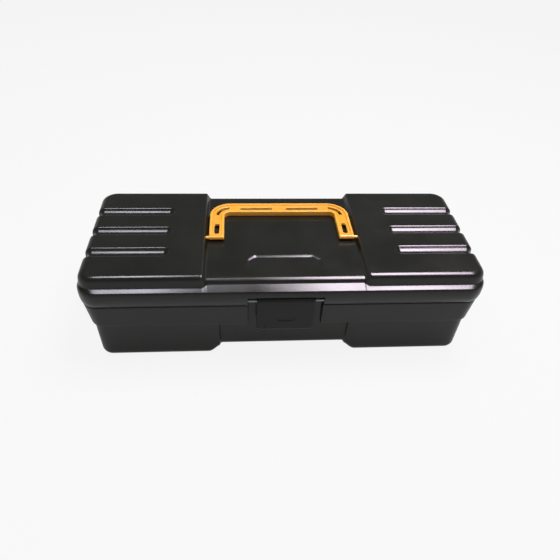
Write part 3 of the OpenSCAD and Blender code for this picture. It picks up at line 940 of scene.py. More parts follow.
    def crown(self, skin: float) -> Rings:
        """Rings from the foot of the end blocks to their flat tops.

        The blocks' edge is a quarter circle, in = draft + r (1 - cos a), z = top - r + r sin a,
        with a wider radius at the ends of the box. The band's edge is a quarter ellipse that is
        passed in the same number of rings.

        Args:
            skin: Distance inwards from the outside.

        Returns:
            The rings.
        """
        o = self.size
        shelf_z = o.parting + self.shelf_up
        k = np.concatenate([np.linspace(-1.0, 0.0, 10)[:-1], np.linspace(0.0, 3.0, 13)])
        a = np.radians(30.0 * np.maximum(k, 0.0))
        b = np.radians(22.5 * (k + 1.0))
        top = o.top - skin
        r = self.edge_r - (1.0 if skin > 0 else 0.0)
        wall = np.clip(k + 1.0, 0.0, 1.0)
        foot_z = shelf_z - skin / 2
        z = np.where(k < 0, foot_z + (top - r - foot_z) * wall, top - r + r * np.sin(a))
        side = skin + self.block_draft * wall
        in_x = side + self.turned_in(self.end_r - skin, z - top + self.end_r - skin)
        in_y = side + self.turned_in(r, z - top + r)
        foot_in = self.block_in_y + self.band_foot
        band_in = skin + foot_in + (self.band_in_y - foot_in) * (1 - np.cos(b))
        slope_z = shelf_z + self.shelf_slope * self.band_foot
        band_top = slope_z - skin + (o.top - self.band_drop - slope_z) * np.sin(b)
        back = band_in - self.block_in_y - in_y
        rise, rear = band_top - z, self.rear_share * back
        return o.inset(self.block_in_x + in_x, self.block_in_y + in_y, z, back, rise, rear)

    def carve(self, points: NDArray, skin: float) -> NDArray:
        """Sinks the grooves, and on the outside the shallow recess of the band, into a surface.

        A groove's floor is an arc of radius R round its middle, R - sqrt(R^2 - d^2), that goes on
        as a straight slope, with d the distance from the groove's middle line or, past its inner
        end, from the end of that line. Out to the bend the height is lowered to that floor. Past
        the bend the distance from the bend's axis is, so the groove runs down over the block's
        round end. Surface and floor are joined by soft_min.

        Args:
            points: Points of the surface.
            skin: Distance inwards from the outside.

        Returns:
            The moved points.
        """
        o = self.size
        x, y, z = points[..., 0], points[..., 1], points[..., 2]
        half = self.groove_w / 2
        turn = 2 * math.atan(self.groove_depth / half)
        floor_r = half / math.sin(turn) - self.groove_lip_r
        limit = floor_r * math.sin(turn)
        past = np.maximum(self.groove_x + half - np.abs(x), 0.0)
        nearest = np.abs(np.abs(y) - self.groove_pitch)
        across = np.minimum(nearest, np.abs(y))
        d = np.maximum(np.hypot(past, across) - self.groove_inside * skin, 0.0)
        arc = floor_r - np.sqrt(np.maximum(floor_r**2 - np.minimum(d, limit) ** 2, 0.0))
        depth = self.groove_depth + skin - arc - np.maximum(d - limit, 0.0) * math.tan(turn)
        bend_x = o.half_l - self.block_in_x - self.block_draft - self.end_r
        bend_z = o.top - self.end_r
        out, up = np.maximum(np.abs(x) - bend_x, 0.0), z - bend_z
        reach = np.where(up > 0, np.hypot(out, up), out)
        floor = np.maximum(self.end_r - depth, 0.05)
        kept = soft_min(reach, floor, self.groove_lip)
        high = (z > o.parting + self.shelf_up - skin / 2 - 0.01) & (np.abs(x) > self.groove_x - 2.0)
        kept = np.where(high, kept, reach)
        share = kept / np.maximum(reach, 0.01)
        moved = points.copy()
        moved[..., 0] = np.where(out > 0, np.sign(x) * (bend_x + out * share), x)
        z = np.where(up > 0, bend_z + up * share, z)
        if skin == 0:
            band_z = o.top - self.band_drop
            p = -y - self.scoop_back
            inside = np.minimum(self.scoop_half - np.abs(x), p)
            corner = (p - np.abs(x) + self.scoop_half - self.scoop_flare) / math.sqrt(2.0)
            inside = np.minimum(inside, corner) + self.scoop_rim
            ramp = band_z - self.scoop_depth * (1 - p / self.scoop_l)
            bowl = soft_max(ramp, band_z - self.scoop_steep * inside, self.scoop_foot)
            on_band = (np.abs(x) < self.band_half - 1) & (z > band_z - 1)
            z = np.where(on_band, soft_min(z, bowl, self.scoop_lip), z)
        moved[..., 2] = z
        return moved

    def closing(self, st: Stations, ring: NDArray, skin: float, shift: float) -> NDArray:
        """Top sheet of the lid inside its last ring.

        Args:
            st: Stations of the rings.
            ring: Points of the last ring before it was carved.
            skin: Distance inwards from the outside.
            shift: Shift of the step, as for the stations.

        Returns:
            Points with the shape (columns, rows, 3).
        """
        plan = st.cap(ring, self.size.half_l - 25.0, self.size.half_d - 23.0)
        x = np.abs(plan[..., 0]) - self.band_half - shift
        z = self.size.top - skin - self.band_drop * (1 - ease(x / self.step_w))
        return self.carve(np.concatenate([plan, z[..., None]], axis=-1), skin)

    def bosses(self) -> list[Patch]:
        """Bosses inside the lid, behind the holes of the handle's pivots.

        Returns:
            One closed patch per boss.
        """
        _, high = (np.array(c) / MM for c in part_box("carry_handle"))
        y = high[1] - self.handle_reach - self.size.shift_y
        z = high[2] - self.pivot_down
        sides = np.array([[y - 4.5, z - 5.0], [y + 4.5, z - 5.0], [y + 4.5, z + 0.6], [y - 4.5, z + 0.6]])
        start, end = self.band_half + self.step_w, high[0] + 2.5
        return [
            bar_along(0, softened(sides, 1.0), min(s * start, s * end), max(s * start, s * end), 0.4)
            for s in (-1.0, 1.0)
        ]

    def build(self) -> list[Piece]:
        """Builds the lid's moulding as one closed surface, outside, rim, tongue and inside.

        Returns:
            The pieces of the lid.
        """
        o = self.size
        outer_st, inner_st = self.stations(0.0), self.stations(o.inner_shift)
        outside = np.concatenate([outer_st.points(self.skirt(0.0)), outer_st.points(self.crown(0.0))])
        top_ring = outside[-1].copy()
        outside = o.notch(self.carve(outside, 0.0), o.pocket_half, self.pocket_top, self.recess_back)
        inside = [inner_st.points(self.skirt(o.wall))[1:], inner_st.points(self.crown(o.wall))]
        inside = np.concatenate(inside)
        inner_ring = inside[-1].copy()
        inner_y, inner_half = self.recess_back - o.wall, o.pocket_half + self.cheek
        inside = o.notch(self.carve(inside, o.wall), inner_half, self.pocket_top + o.wall, inner_y)
        sides = self.tongue_in + self.tongue_t * np.array([0.0, 0.0, 1.0, 1.0])
        drop = np.array([0.0, self.tongue_drop, self.tongue_drop, 0.0])
        tongue = inner_st.points(o.inset(o.skirt_in_x + sides, o.skirt_in_y + sides, self.bottom - drop))
        tongue = o.notch(tongue, inner_half, o.top, inner_y + self.tongue_t)
        # The tongue stops beside the latch recess, where its rings lie flat on the lower edge
        flat = ease((inner_half + o.pocket_edge - np.abs(tongue[..., 0])) / o.pocket_edge)
        flat = flat * (tongue[..., 1] < 0)
        tongue[..., 2] += flat * (self.bottom - tongue[..., 2])
        rings = np.concatenate([outside[::-1], tongue, inside])
        patches = [
            sheet_patch(rings, closed=True),
            sheet_patch(self.closing(outer_st, top_ring, 0.0, 0.0)),
            sheet_patch(self.closing(inner_st, inner_ring, o.wall, o.inner_shift)),
        ]
        patches += Knuckles(o).patches(1.0) + self.bosses()
        shell = make_piece("lid_moulding", patches, o.shift_y)
        return [Piece(shell, "lid", "body_plastic", Finish.BODY, ("lid_shell",))]


# ---------------------------------------------------------------- base


@dataclass
class Base:
    """The base: a rim band over a set-back body that stands on two broad feet."""

    size: Overall
    rim_h: float = 21.0
    rim_in_x: float = 3.6
    rim_in_y: float = 1.4
    step_x: float = 1.8
    step_y: float = 1.2
    draft_x: float = 1.4
    draft_y: float = 2.3
    foot_r: float = 8.5
    middle_up: float = 8.2
    middle_back: float = 2.2
    middle_half: float = 51.3
    foot_curve: float = 12.7
    ledge_down: float = 4.4
    ledge_w: float = 3.6
    pocket_back: float = 58.7
    catch_out: float = 1.8
    catch_down: float = 12.0
    catch_w: float = 28.0
    catch_h: float = 3.0
    catch_root: float = 0.6

    def stations(self, shift: float) -> Stations:
        """Points of a ring of the base; the bottom falls to each foot along an S-curve.

        Args:
            shift: How far the curve lies further out, for the inside.

        Returns:
            The stations.
        """
        start = self.middle_half - 1.0
        flat = spread((0.0, 27.0, 3.0), (27.0, 28.8, 0.6), (28.8, 30.2, 0.2), (30.2, 31.0, 0.4),
                      (31.0, 32.4, 0.2), (32.4, start, 2.5))
        share = np.concatenate([
            np.linspace(0.0, 0.10, 3), np.linspace(0.12, 0.26, 11), np.linspace(0.3, 1.0, 20),
        ])
        middle = np.concatenate([flat[:-1], start + shift + self.foot_curve * share])
        back = np.concatenate([np.ones(len(flat) - 1), 1 - ease((share - 0.12) / 0.13)])
        rise = np.concatenate([np.ones(len(flat) - 1), 1 - ease(share)])
        run = np.linspace(0.0, 1.0, 26)[1:-1]
        side = np.linspace(-1.0, 1.0, 36)[1:-1]
        return Stations(middle, back, rise, run, side)

    def foot_edge(self, ix: float, iy: float, r: float, z: float) -> Rings:
        """Rounded bottom edge: in = r (1 - sin a), z + r (1 - cos a), for a from 0 to 90 degrees.

        Args:
            ix: Inset at the ends, above the edge.
            iy: Inset at the front and rear, above the edge.
            r: Radius of the edge.
            z: Height of the bottom.

        Returns:
            The rings, from the bottom up.
        """
        a = np.linspace(0.0, np.pi / 2, 11)
        s = r * (1 - np.sin(a))
        return self.size.inset(ix + s, iy + s, z + r * (1 - np.cos(a)), self.middle_back, self.middle_up)

    def build(self) -> list[Piece]:
        """Builds the base's moulding as one closed surface.

        Returns:
            The pieces of the base.
        """
        o = self.size
        top = o.parting - o.gap / 2
        rim_z = o.parting - self.rim_h
        rim_x, rim_y = o.skirt_in_x + self.rim_in_x, o.skirt_in_y + self.rim_in_y
        body_x, body_y = rim_x + self.step_x, rim_y + self.step_y
        foot_x, foot_y = body_x + self.draft_x, body_y + self.draft_y
        step_z = rim_z - 0.5
        out_st, in_st = self.stations(0.0), self.stations(o.inner_shift)
        # Body: straight draft from the rounded foot edge up to the step, in a few rings
        edge = out_st.points(self.foot_edge(foot_x, foot_y, self.foot_r, 0.0))
        under = out_st.points(o.inset(body_x, body_y, step_z, self.middle_back, 0.0))
        t = np.linspace(0.0, 1.0, 9)[1:, None, None]
        body = edge[-1] + (under[0] - edge[-1]) * t
        # Rim: its lower edge is rounded by 0.7 mm, its upper edge by a few tenths
        low = 0.7
        a = np.linspace(0.0, np.pi / 2, 5)
        lower_in = low * (1 - np.sin(a))
        lower_z = rim_z - 0.25 + low * (1 - np.cos(a))
        wall_z = spread((lower_z[-1], top - 0.7, 1.6))[1:]
        z = np.concatenate([lower_z, wall_z, top - np.array([0.35, 0.12, 0.0])])
        s = (top - z) / (top - rim_z)
        extra = np.concatenate([lower_in, 0 * wall_z, [0.06, 0.2, 0.42]])
        rim_ix, rim_iy = o.skirt_in_x + self.rim_in_x * s + extra, o.skirt_in_y + self.rim_in_y * s + extra
        rim = out_st.points(o.inset(rim_ix, rim_iy, z))
        # Inside: the rim's lip, the ledge that carries the tray, and the drafted wall down
        ledge_z = o.parting - self.ledge_down
        lip = o.wall - 0.2
        chamfer = np.array([0.3, 0.0, 0.0])
        down = np.array([top, top - 0.3, ledge_z])
        inner_lip = in_st.points(
            o.inset(o.skirt_in_x + lip - chamfer, o.skirt_in_y + lip - chamfer, down)
        )
        ledge = in_st.points(o.inset(o.skirt_in_x + lip + self.ledge_w, o.skirt_in_y + o.wall, ledge_z))
        inner_top = in_st.points(o.inset(body_x + o.wall, body_y + o.wall, step_z, self.middle_back, 0.0))
        wall_down = ledge + (inner_top - ledge) * np.linspace(0.0, 1.0, 8)[1:, None, None]
        inner_edge = in_st.points(
            self.foot_edge(foot_x + o.wall, foot_y + o.wall, self.foot_r - o.wall, o.wall)
        )
        bay = np.concatenate([inner_lip, ledge, wall_down, inner_edge[::-1]])
        outside = np.concatenate([edge, body, rim])
        outside = self._pocket(outside, o.pocket_half, self.pocket_back, rim_z)
        bay = self._pocket(bay, o.pocket_half + o.wall, self.pocket_back - o.wall, step_z)
        bottom = self._floor(out_st, edge[0], 0.0, 0.0)
        inner_bottom = self._floor(in_st, inner_edge[0], o.wall, o.inner_shift)
        rings = np.concatenate([outside, bay])
        patches = [sheet_patch(rings, closed=True), sheet_patch(bottom), sheet_patch(inner_bottom)]
        patches += [self.catch()] + Knuckles(o).patches(-1.0)
        shell = make_piece("base_moulding", patches, o.shift_y)
        return [Piece(shell, "base", "body_plastic", Finish.BODY, ("base_shell",))]

    def catch(self) -> Patch:
        """Ridge on the pocket's back: flat below, where the hook holds, and sloped above.

        Returns:
            The closed patch.
        """
        back, z = -self.pocket_back, self.size.parting - self.catch_down
        nose, root, top = back - self.catch_out, back + self.catch_root, z + self.catch_h
        corners = np.array([[nose, z], [root, z], [root, top], [back, top], [nose, z + 1.0]])
        return bar_along(0, softened(corners, 0.25), -self.catch_w / 2, self.catch_w / 2, 0.3)

    def _pocket(self, points: NDArray, half: float, back: float, low: float) -> NDArray:
        """Pushes the front of the rim back into the latch pocket.

        The outside is only ever pushed in, the inside also out to the pocket's wall.

        Args:
            points: Points of the surface.
            half: Half width of the pocket.
            back: Distance of its back from the centre line.
            low: Height under which nothing moves.

        Returns:
            The moved points.
        """
        x, y, z = points[..., 0], points[..., 1], points[..., 2]
        m = self.size.within(np.abs(x), half) * (y < -self.size.half_d / 2) * (z > low - 0.6)
        moved = points.copy()
        pushed = y + m * (-back - y)
        outside = half <= self.size.pocket_half
        moved[..., 1] = np.where(y < -back, pushed, y) if outside else pushed
        return moved

    def _floor(self, st: Stations, ring: NDArray, lift: float, shift: float) -> NDArray:
        """Sheet that closes the bottom: flat on the feet, raised by the S-curve between them.

        Args:
            st: Stations of the rings.
            ring: Points of the lowest ring.
            lift: Height of the sheet on the feet.
            shift: Shift of the curve, as for the stations.

        Returns:
            Points with the shape (columns, rows, 3).
        """
        plan = st.cap(ring, self.size.half_l - 32.0, self.size.half_d - 28.0)
        share = (np.abs(plan[..., 0]) - self.middle_half + 1.0 - shift) / self.foot_curve
        z = lift + self.middle_up * (1 - ease(share))
        return np.concatenate([plan, z[..., None]], axis=-1)


# ---------------------------------------------------------------- handle


@dataclass
class Handle:
    """U-shaped handle: a bar and two legs with raised borders, a channel and oblong slots."""

    size: Overall
    half_l: float = 60.7
    reach: float = 50.4
    leg_w: float = 12.4
    bar_w: float = 13.9
    outer_r: float = 18.0
    inner_r: float = 5.0
    top: float = 1.9
    bottom: float = -2.7
    border: float = 2.3
    channel: float = 1.2
    edge: float = 0.6
    slot_half: float = 1.6
    bar_slot: tuple[float, float] = (20.3, 29.0)
    leg_slot: tuple[float, float] = (12.0, 15.0)
    leg_slot_half: float = 2.1
    pin_r: float = 1.3
    pin_end: float = 63.7
    lean_x: float = 36.0
    lean_y: float = 21.0
    lean_slot: float = 35.4

    def along(
        self, slot: tuple[float, float], half: float, start: float, end: float
    ) -> tuple[NDArray, NDArray]:
        """Stations on a straight part with an oblong slot, and the slot's half width there.

        Round each end of the slot the stations lie half (1 - cos t) in, where the half width is
        half sin t.

        Args:
            slot: Middle and length of the slot.
            half: Half its width.
            start: Where the part starts, below the slot.
            end: Where it ends, beyond the slot.

        Returns:
            Ascending stations and half widths.
        """
        t = np.radians(np.linspace(0.0, 90.0, 7))
        low, high = slot[0] - slot[1] / 2, slot[0] + slot[1] / 2
        before = spread((start, low, 1.6))[:-1]
        between = spread((low + half, high - half, 2.2))[1:-1]
        after = spread((high, end, 1.6))[1:]
        into = half * (1 - np.cos(t))
        at = np.concatenate([before, low + into, between, high - into[::-1], after])
        wide = [0 * before, half * np.sin(t), half + 0 * between, half * np.sin(t[::-1]), 0 * after]
        return at, np.concatenate(wide)

    def strip(self) -> tuple[NDArray, NDArray, NDArray, NDArray, NDArray]:
        """Right half of the handle as a strip between its outer and inner edge.

        The strip starts at the bar's middle, turns through a quarter circle, and ends in the
        leg's round end, where (y, z) = top (-sin t, cos t).

        Returns:
            Outer and inner edge points (n, 2); top and bottom (n, 2); distance of the slots'
            middle line from the outer edge (n); half width of the slots (n).
        """
        turn = np.array([self.half_l - self.outer_r, self.reach - self.outer_r])
        leg_in, bar_in = self.half_l - self.leg_w, self.reach - self.bar_w
        x, x_slot = self.along(self.bar_slot, self.slot_half, 0.0, turn[0])
        y, y_slot = self.along(self.leg_slot, self.leg_slot_half, self.top, turn[1])
        y, y_slot = y[::-1], y_slot[::-1]
        a = np.radians(np.concatenate([[90.0, 87.0, 84.4], np.linspace(83.8, 6.2, 27), [5.6, 3.0, 0.0]]))
        a_slot = np.where((a < math.radians(84.0)) & (a > math.radians(6.0)), self.slot_half, 0.0)
        low_y = spread((0.0, self.top, 0.38))[-2::-1]
        t = np.radians(np.linspace(0.0, 90.0, 9))[1:]
        foot_y = np.concatenate([low_y, -self.top * np.sin(t)])
        corner = np.stack([np.cos(a), np.sin(a)], axis=-1)
        # The inner corner turns about its own centre, so the straight stations lean over to it
        in_turn = np.array([leg_in - self.inner_r, bar_in - self.inner_r])
        x_in = x + (in_turn[0] - turn[0]) * ease((x - self.lean_x) / (turn[0] - self.lean_x))
        y_in = y + (in_turn[1] - turn[1]) * ease((y - self.lean_y) / (turn[1] - self.lean_y))
        outer = np.concatenate([
            np.column_stack([x, self.reach + 0 * x]), turn + self.outer_r * corner[1:],
            np.column_stack([self.half_l + 0 * y, y])[1:],
            np.column_stack([self.half_l + 0 * foot_y, foot_y]),
        ])
        inner = np.concatenate([
            np.column_stack([x_in, bar_in + 0 * x]), in_turn + self.inner_r * corner[1:],
            np.column_stack([leg_in + 0 * y, y_in])[1:], np.column_stack([leg_in + 0 * foot_y, foot_y]),
        ])
        long = len(x) + len(a) + len(y) - 2
        flat = np.column_stack([np.full(long, self.top), np.full(long, self.bottom)])
        slope = np.interp(low_y, [0.0, self.top], [-self.top, self.bottom])
        sloped = np.column_stack([self.top + 0 * low_y, slope])
        rounded = np.column_stack([self.top * np.cos(t), -self.top * np.cos(t)])
        bar_mid, leg_mid = self.bar_w / 2 + 0.5, self.leg_w / 2
        mid = np.interp(x, [self.lean_slot, turn[0]], [bar_mid, leg_mid])
        mid = np.concatenate([mid, np.full(len(outer) - len(x), leg_mid)])
        slots = np.concatenate([x_slot, a_slot[1:], y_slot[1:], 0 * foot_y])
        return outer, inner, np.concatenate([flat, sloped, rounded]), mid, slots

    def section(
        self, reach: NDArray, heights: NDArray, depth: NDArray, rim: NDArray
    ) -> tuple[NDArray, NDArray]:
        """Cross-section of half the strip, from the upper channel over the edge to the lower one.

        The edge is a quarter circle above and below. The border is flat, falls along an S-curve
        to the channel's floor, and the floor's edge at a slot is broken by the rim's depth.

        Args:
            reach: Distance from the edge to the slot or the strip's middle, per station.
            heights: Top and bottom, per station.
            depth: Depth of the channel.
            rim: Depth of the broken edge at the slot.

        Returns:
            Distance from the edge and height, each with the shape (stations, points).
        """
        r = np.minimum(self.edge, 0.45 * (heights[:, 0] - heights[:, 1]))[:, None]
        t = np.radians(np.linspace(0.0, 90.0, 5))[None, :]
        s = np.linspace(0.0, 1.0, 7)[None, :]
        slope = self.border - 0.35 + 0.7 * s + 0 * r
        start = slope[:, -1:]
        floor = start + (reach[:, None] - start) * np.array([[0.4, 0.8]])
        last = np.concatenate([reach[:, None] - 0.18, reach[:, None]], axis=1)
        ins = np.concatenate([r * (1 - np.cos(t)), slope, floor, last], axis=1)
        down = np.concatenate([
            r * (1 - np.sin(t)), depth[:, None] * ease(s), depth[:, None] + 0 * floor,
            depth[:, None] + rim[:, None] * np.array([[0.0, 1.0]]),
        ], axis=1)
        upper, lower = heights[:, :1] - down, heights[:, 1:] + down
        return np.concatenate([ins[:, ::-1], ins], axis=1), np.concatenate([upper[:, ::-1], lower], axis=1)

    def build(self) -> list[Piece]:
        """Builds the handle as one closed surface, with its pivot stubs.

        Returns:
            The pieces of the handle.
        """
        outer, inner, heights, mid, slots = self.strip()
        _, high = (np.array(c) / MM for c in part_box("carry_handle"))
        pivot = np.array([0.0, high[1] - self.reach - self.size.shift_y, high[2] - self.top])
        width = np.linalg.norm(outer - inner, axis=1)
        way = (inner - outer) / width[:, None]
        depth = self.channel * ease((outer[:, 1] - 2.9) / 0.8)
        rim = np.minimum(slots, 0.15)
        is_open = slots > 0
        beside = is_open[:-1] | is_open[1:]
        beside = np.concatenate([beside[::-1], beside])
        patches = []
        for near, sign, reach in ((outer, 1.0, mid - slots), (inner, -1.0, width - mid - slots)):
            ins, z = self.section(reach, heights, depth, rim)
            xy = near[:, None] + sign * ins[..., None] * way[:, None]
            sheet = np.concatenate([xy, z[..., None]], axis=-1)
            sheet = np.concatenate([sheet[:0:-1] * np.array([-1.0, 1.0, 1.0]), sheet]) + pivot
            patches.append(sheet_patch(sheet))
            points, quads = sheet_patch(np.stack([sheet[:, 0], sheet[:, -1]], axis=1))
            patches.append((points, quads[beside]))
        pin = arc((pivot[1], pivot[2]), self.pin_r, 0.0, 360.0, 32)[:-1]
        inside = self.half_l - 1.0
        patches.append(bar_along(0, pin, -self.pin_end, -inside, 0.3))
        patches.append(bar_along(0, pin, inside, self.pin_end, 0.3))
        grip = make_piece("handle_moulding", patches, self.size.shift_y)
        return [Piece(grip, "handle", "handle_plastic", Finish.HANDLE, ("carry_handle",))]


# ---------------------------------------------------------------- latch


@dataclass
class Latch:
    """Swinging latch: a bevelled plate under a round barrel, with a hook and ribs behind."""

    size: Overall
    wide: float = 45.8
    high: float = 32.3
    proud: float = 0.8
    deep: float = 4.6
    skin: float = 2.4
    barrel_r: float = 3.7
    corner_r: float = 3.0
    bevel_in: float = 1.3
    bevel_t: float = 0.7
    edge: float = 0.5
    flange: float = 2.0
    pill_l: float = 14.6
    pill_w: float = 6.6
    pill_up: float = 13.2
    pill_deep: float = 0.5
    hook_w: float = 22.0
    hook_tip: float = 60.65
    hook_down: float = 12.5
    hook_t: float = 3.1
    hook_nose: float = 1.6
    rib_half: float = 0.8
    rib_step: float = 8.0

    @property
    def face(self) -> float:
        """Place of the face along y."""
        return -(self.size.half_d + self.proud)

    @property
    def low(self) -> float:
        """Height of the lower edge."""
        return self.size.latch_pin_z + self.barrel_r - self.high

    def fall(self, d: NDArray, r: float) -> NDArray:
        """Fall of a rounded edge of radius r at a distance d in from it."""
        return r * (1 - np.sqrt(1 - np.clip(1 - d / r, 0.0, 1.0) ** 2))

    def grid(self) -> tuple[NDArray, NDArray]:
        """Stations of the plate, closer together at its edges and round the blank field.

        Returns:
            Stations across, and shares of the way from the lower edge to the pin.
        """
        half, pill = self.wide / 2, self.pill_l / 2 + 0.8
        x = spread((0.0, pill, 0.4), (pill, half - 3.6, 1.6), (half - 3.6, half - self.flange - 0.2, 0.35),
                   (half - self.flange - 0.2, half - self.flange + 0.2, 0.1),
                   (half - self.flange + 0.2, half - 0.5, 0.18), (half - 0.5, half, 0.08))
        x = np.concatenate([-x[:0:-1], x])[:, None]
        low_pill, high_pill = self.pill_up - self.pill_w / 2 - 0.8, self.pill_up + self.pill_w / 2 + 0.8
        tall = self.size.latch_pin_z - self.low
        v = spread((0.0, 0.5, 0.1), (0.5, 2.4, 0.24), (2.4, low_pill, 1.0), (low_pill, high_pill, 0.35),
                   (high_pill, tall, 1.2))
        return x, v[None, :] / tall

    def front(self, x: NDArray, v: NDArray) -> tuple[NDArray, NDArray]:
        """Front of the latch: the bevelled face with its blank field, and the barrel above it.

        The face draws back by bevel_t (1 - d / bevel_in) and by a rounded edge, with d the
        distance from the rounded outline. The barrel is y = face + r - r cos t, z = pin + r sin t.

        Args:
            x: Stations across, as a column.
            v: Shares of the way up, as a row.

        Returns:
            Places along y and heights.
        """
        pin_z, half, r = self.size.latch_pin_z, self.wide / 2, self.corner_r
        ax = np.abs(x)
        foot = self.low + r - np.sqrt(r * r - np.maximum(ax - half + r, 0.0) ** 2)
        z = foot + (pin_z - foot) * v
        in_x, in_z = ax - half + r, self.low + r - z
        at_corner = r - np.hypot(in_x, in_z)
        d = np.where((in_x > 0) & (in_z > 0), at_corner, np.minimum(half - ax, z - self.low))
        slope = self.bevel_t * (1 - np.clip(d / self.bevel_in, 0.0, 1.0))
        pill_z = self.low + self.pill_up
        long = np.maximum(ax - (self.pill_l - self.pill_w) / 2, 0.0)
        inside = self.pill_w / 2 - np.hypot(long, z - pill_z)
        face = self.face + slope + self.fall(d, self.edge) + self.pill_deep * ease((inside + 0.3) / 0.6)
        t = np.radians(np.linspace(0.0, 100.0, 15))[None, 1:]
        side = half - ax
        less = self.bevel_t * (1 - np.clip(side / self.bevel_in, 0.0, 1.0))
        less = less * (1 - ease(t / math.radians(60.0)))
        barrel = self.barrel_r - less - self.fall(side, self.edge)
        y = np.concatenate([face, self.face + self.barrel_r - barrel * np.cos(t)], axis=1)
        return y, np.concatenate([z, pin_z + barrel * np.sin(t)], axis=1)

    def rear(self, x: NDArray, v: NDArray) -> tuple[NDArray, NDArray]:
        """Back of the latch: hollow between flanges, then round the barrel from below.

        Args:
            x: Stations across, as a column.
            v: Shares of the way up, as a row.

        Returns:
            Places along y and heights.
        """
        pin_z, half, r = self.size.latch_pin_z, self.wide / 2, self.corner_r
        ax = np.abs(x)
        middle = self.face + self.barrel_r
        foot = self.low + r - np.sqrt(r * r - np.maximum(ax - half + r, 0.0) ** 2)
        hollow = ease((half - self.flange + 0.2 - ax) / 0.4)
        top_y = self.face + self.deep + hollow * (self.skin - self.deep)
        barrel = self.barrel_r - self.fall(half - ax, self.edge)
        start = np.arcsin((top_y - middle) / barrel) - np.pi / 2
        under = pin_z + barrel * np.sin(start)
        z = foot + (under - foot) * v
        up = ease((z - foot - self.flange + 0.2) / 0.4)
        y = self.face + self.deep + hollow * up * (self.skin - self.deep) - self.fall(z - foot, 0.35)
        s = start + (math.radians(80.0) - start) * np.linspace(0.0, 1.0, 15)[None, 1:]
        y = np.concatenate([y, middle + barrel * np.cos(s)], axis=1)
        return y, np.concatenate([z, pin_z + barrel * np.sin(s)], axis=1)

    def plate(self) -> Patch:
        """Plate and barrel: front and back of each station make a ring, and both ends are closed.

        Returns:
            The closed patch.
        """
        x, v = self.grid()
        sides = [np.stack([x + 0 * y, y, z], axis=-1) for y, z in (self.front(x, v), self.rear(x, v))]
        points = np.concatenate([sides[0], sides[1][:, ::-1]], axis=1)
        rows, cols = points.shape[:2]
        pair = np.arange(cols // 2 - 1)
        ends = [
            np.stack([b + pair, b + pair + 1, b + cols - 2 - pair, b + cols - 1 - pair], axis=-1)
            for b in (0, (rows - 1) * cols)
        ]
        return points.reshape(-1, 3), np.concatenate([grid_faces(rows, cols, closed=True)] + ends)

    def build(self) -> list[Piece]:
        """Builds the latch with its hook, which is flat above and has a lead-in below, and ribs.

        Returns:
            The pieces of the latch.
        """
        inner, back = self.face + self.skin - 0.5, self.face + self.deep - 0.2
        hook_z = self.size.parting - self.hook_down
        tip = -self.hook_tip
        hook_low = hook_z - self.hook_t
        hook = np.array([
            [inner, hook_low], [tip - 1.2, hook_low], [tip, hook_z - self.hook_nose], [tip, hook_z],
            [inner, hook_z],
        ])
        rib_low = self.low + self.flange - 0.5
        rib = np.array([[inner, rib_low], [back, rib_low], [back, hook_z - 2.5], [inner, hook_z - 2.5]])
        patches = [self.plate(), bar_along(0, softened(hook, 0.4), -self.hook_w / 2, self.hook_w / 2, 0.3)]
        for x in (-self.rib_step, 0.0, self.rib_step):
            patches.append(bar_along(0, softened(rib, 0.3), x - self.rib_half, x + self.rib_half, 0.2))
        plate = make_piece("latch_moulding", patches, self.size.shift_y)
        return [Piece(plate, "latch", "latch_plastic", Finish.LATCH, ("front_latch",))]


# ---------------------------------------------------------------- tray


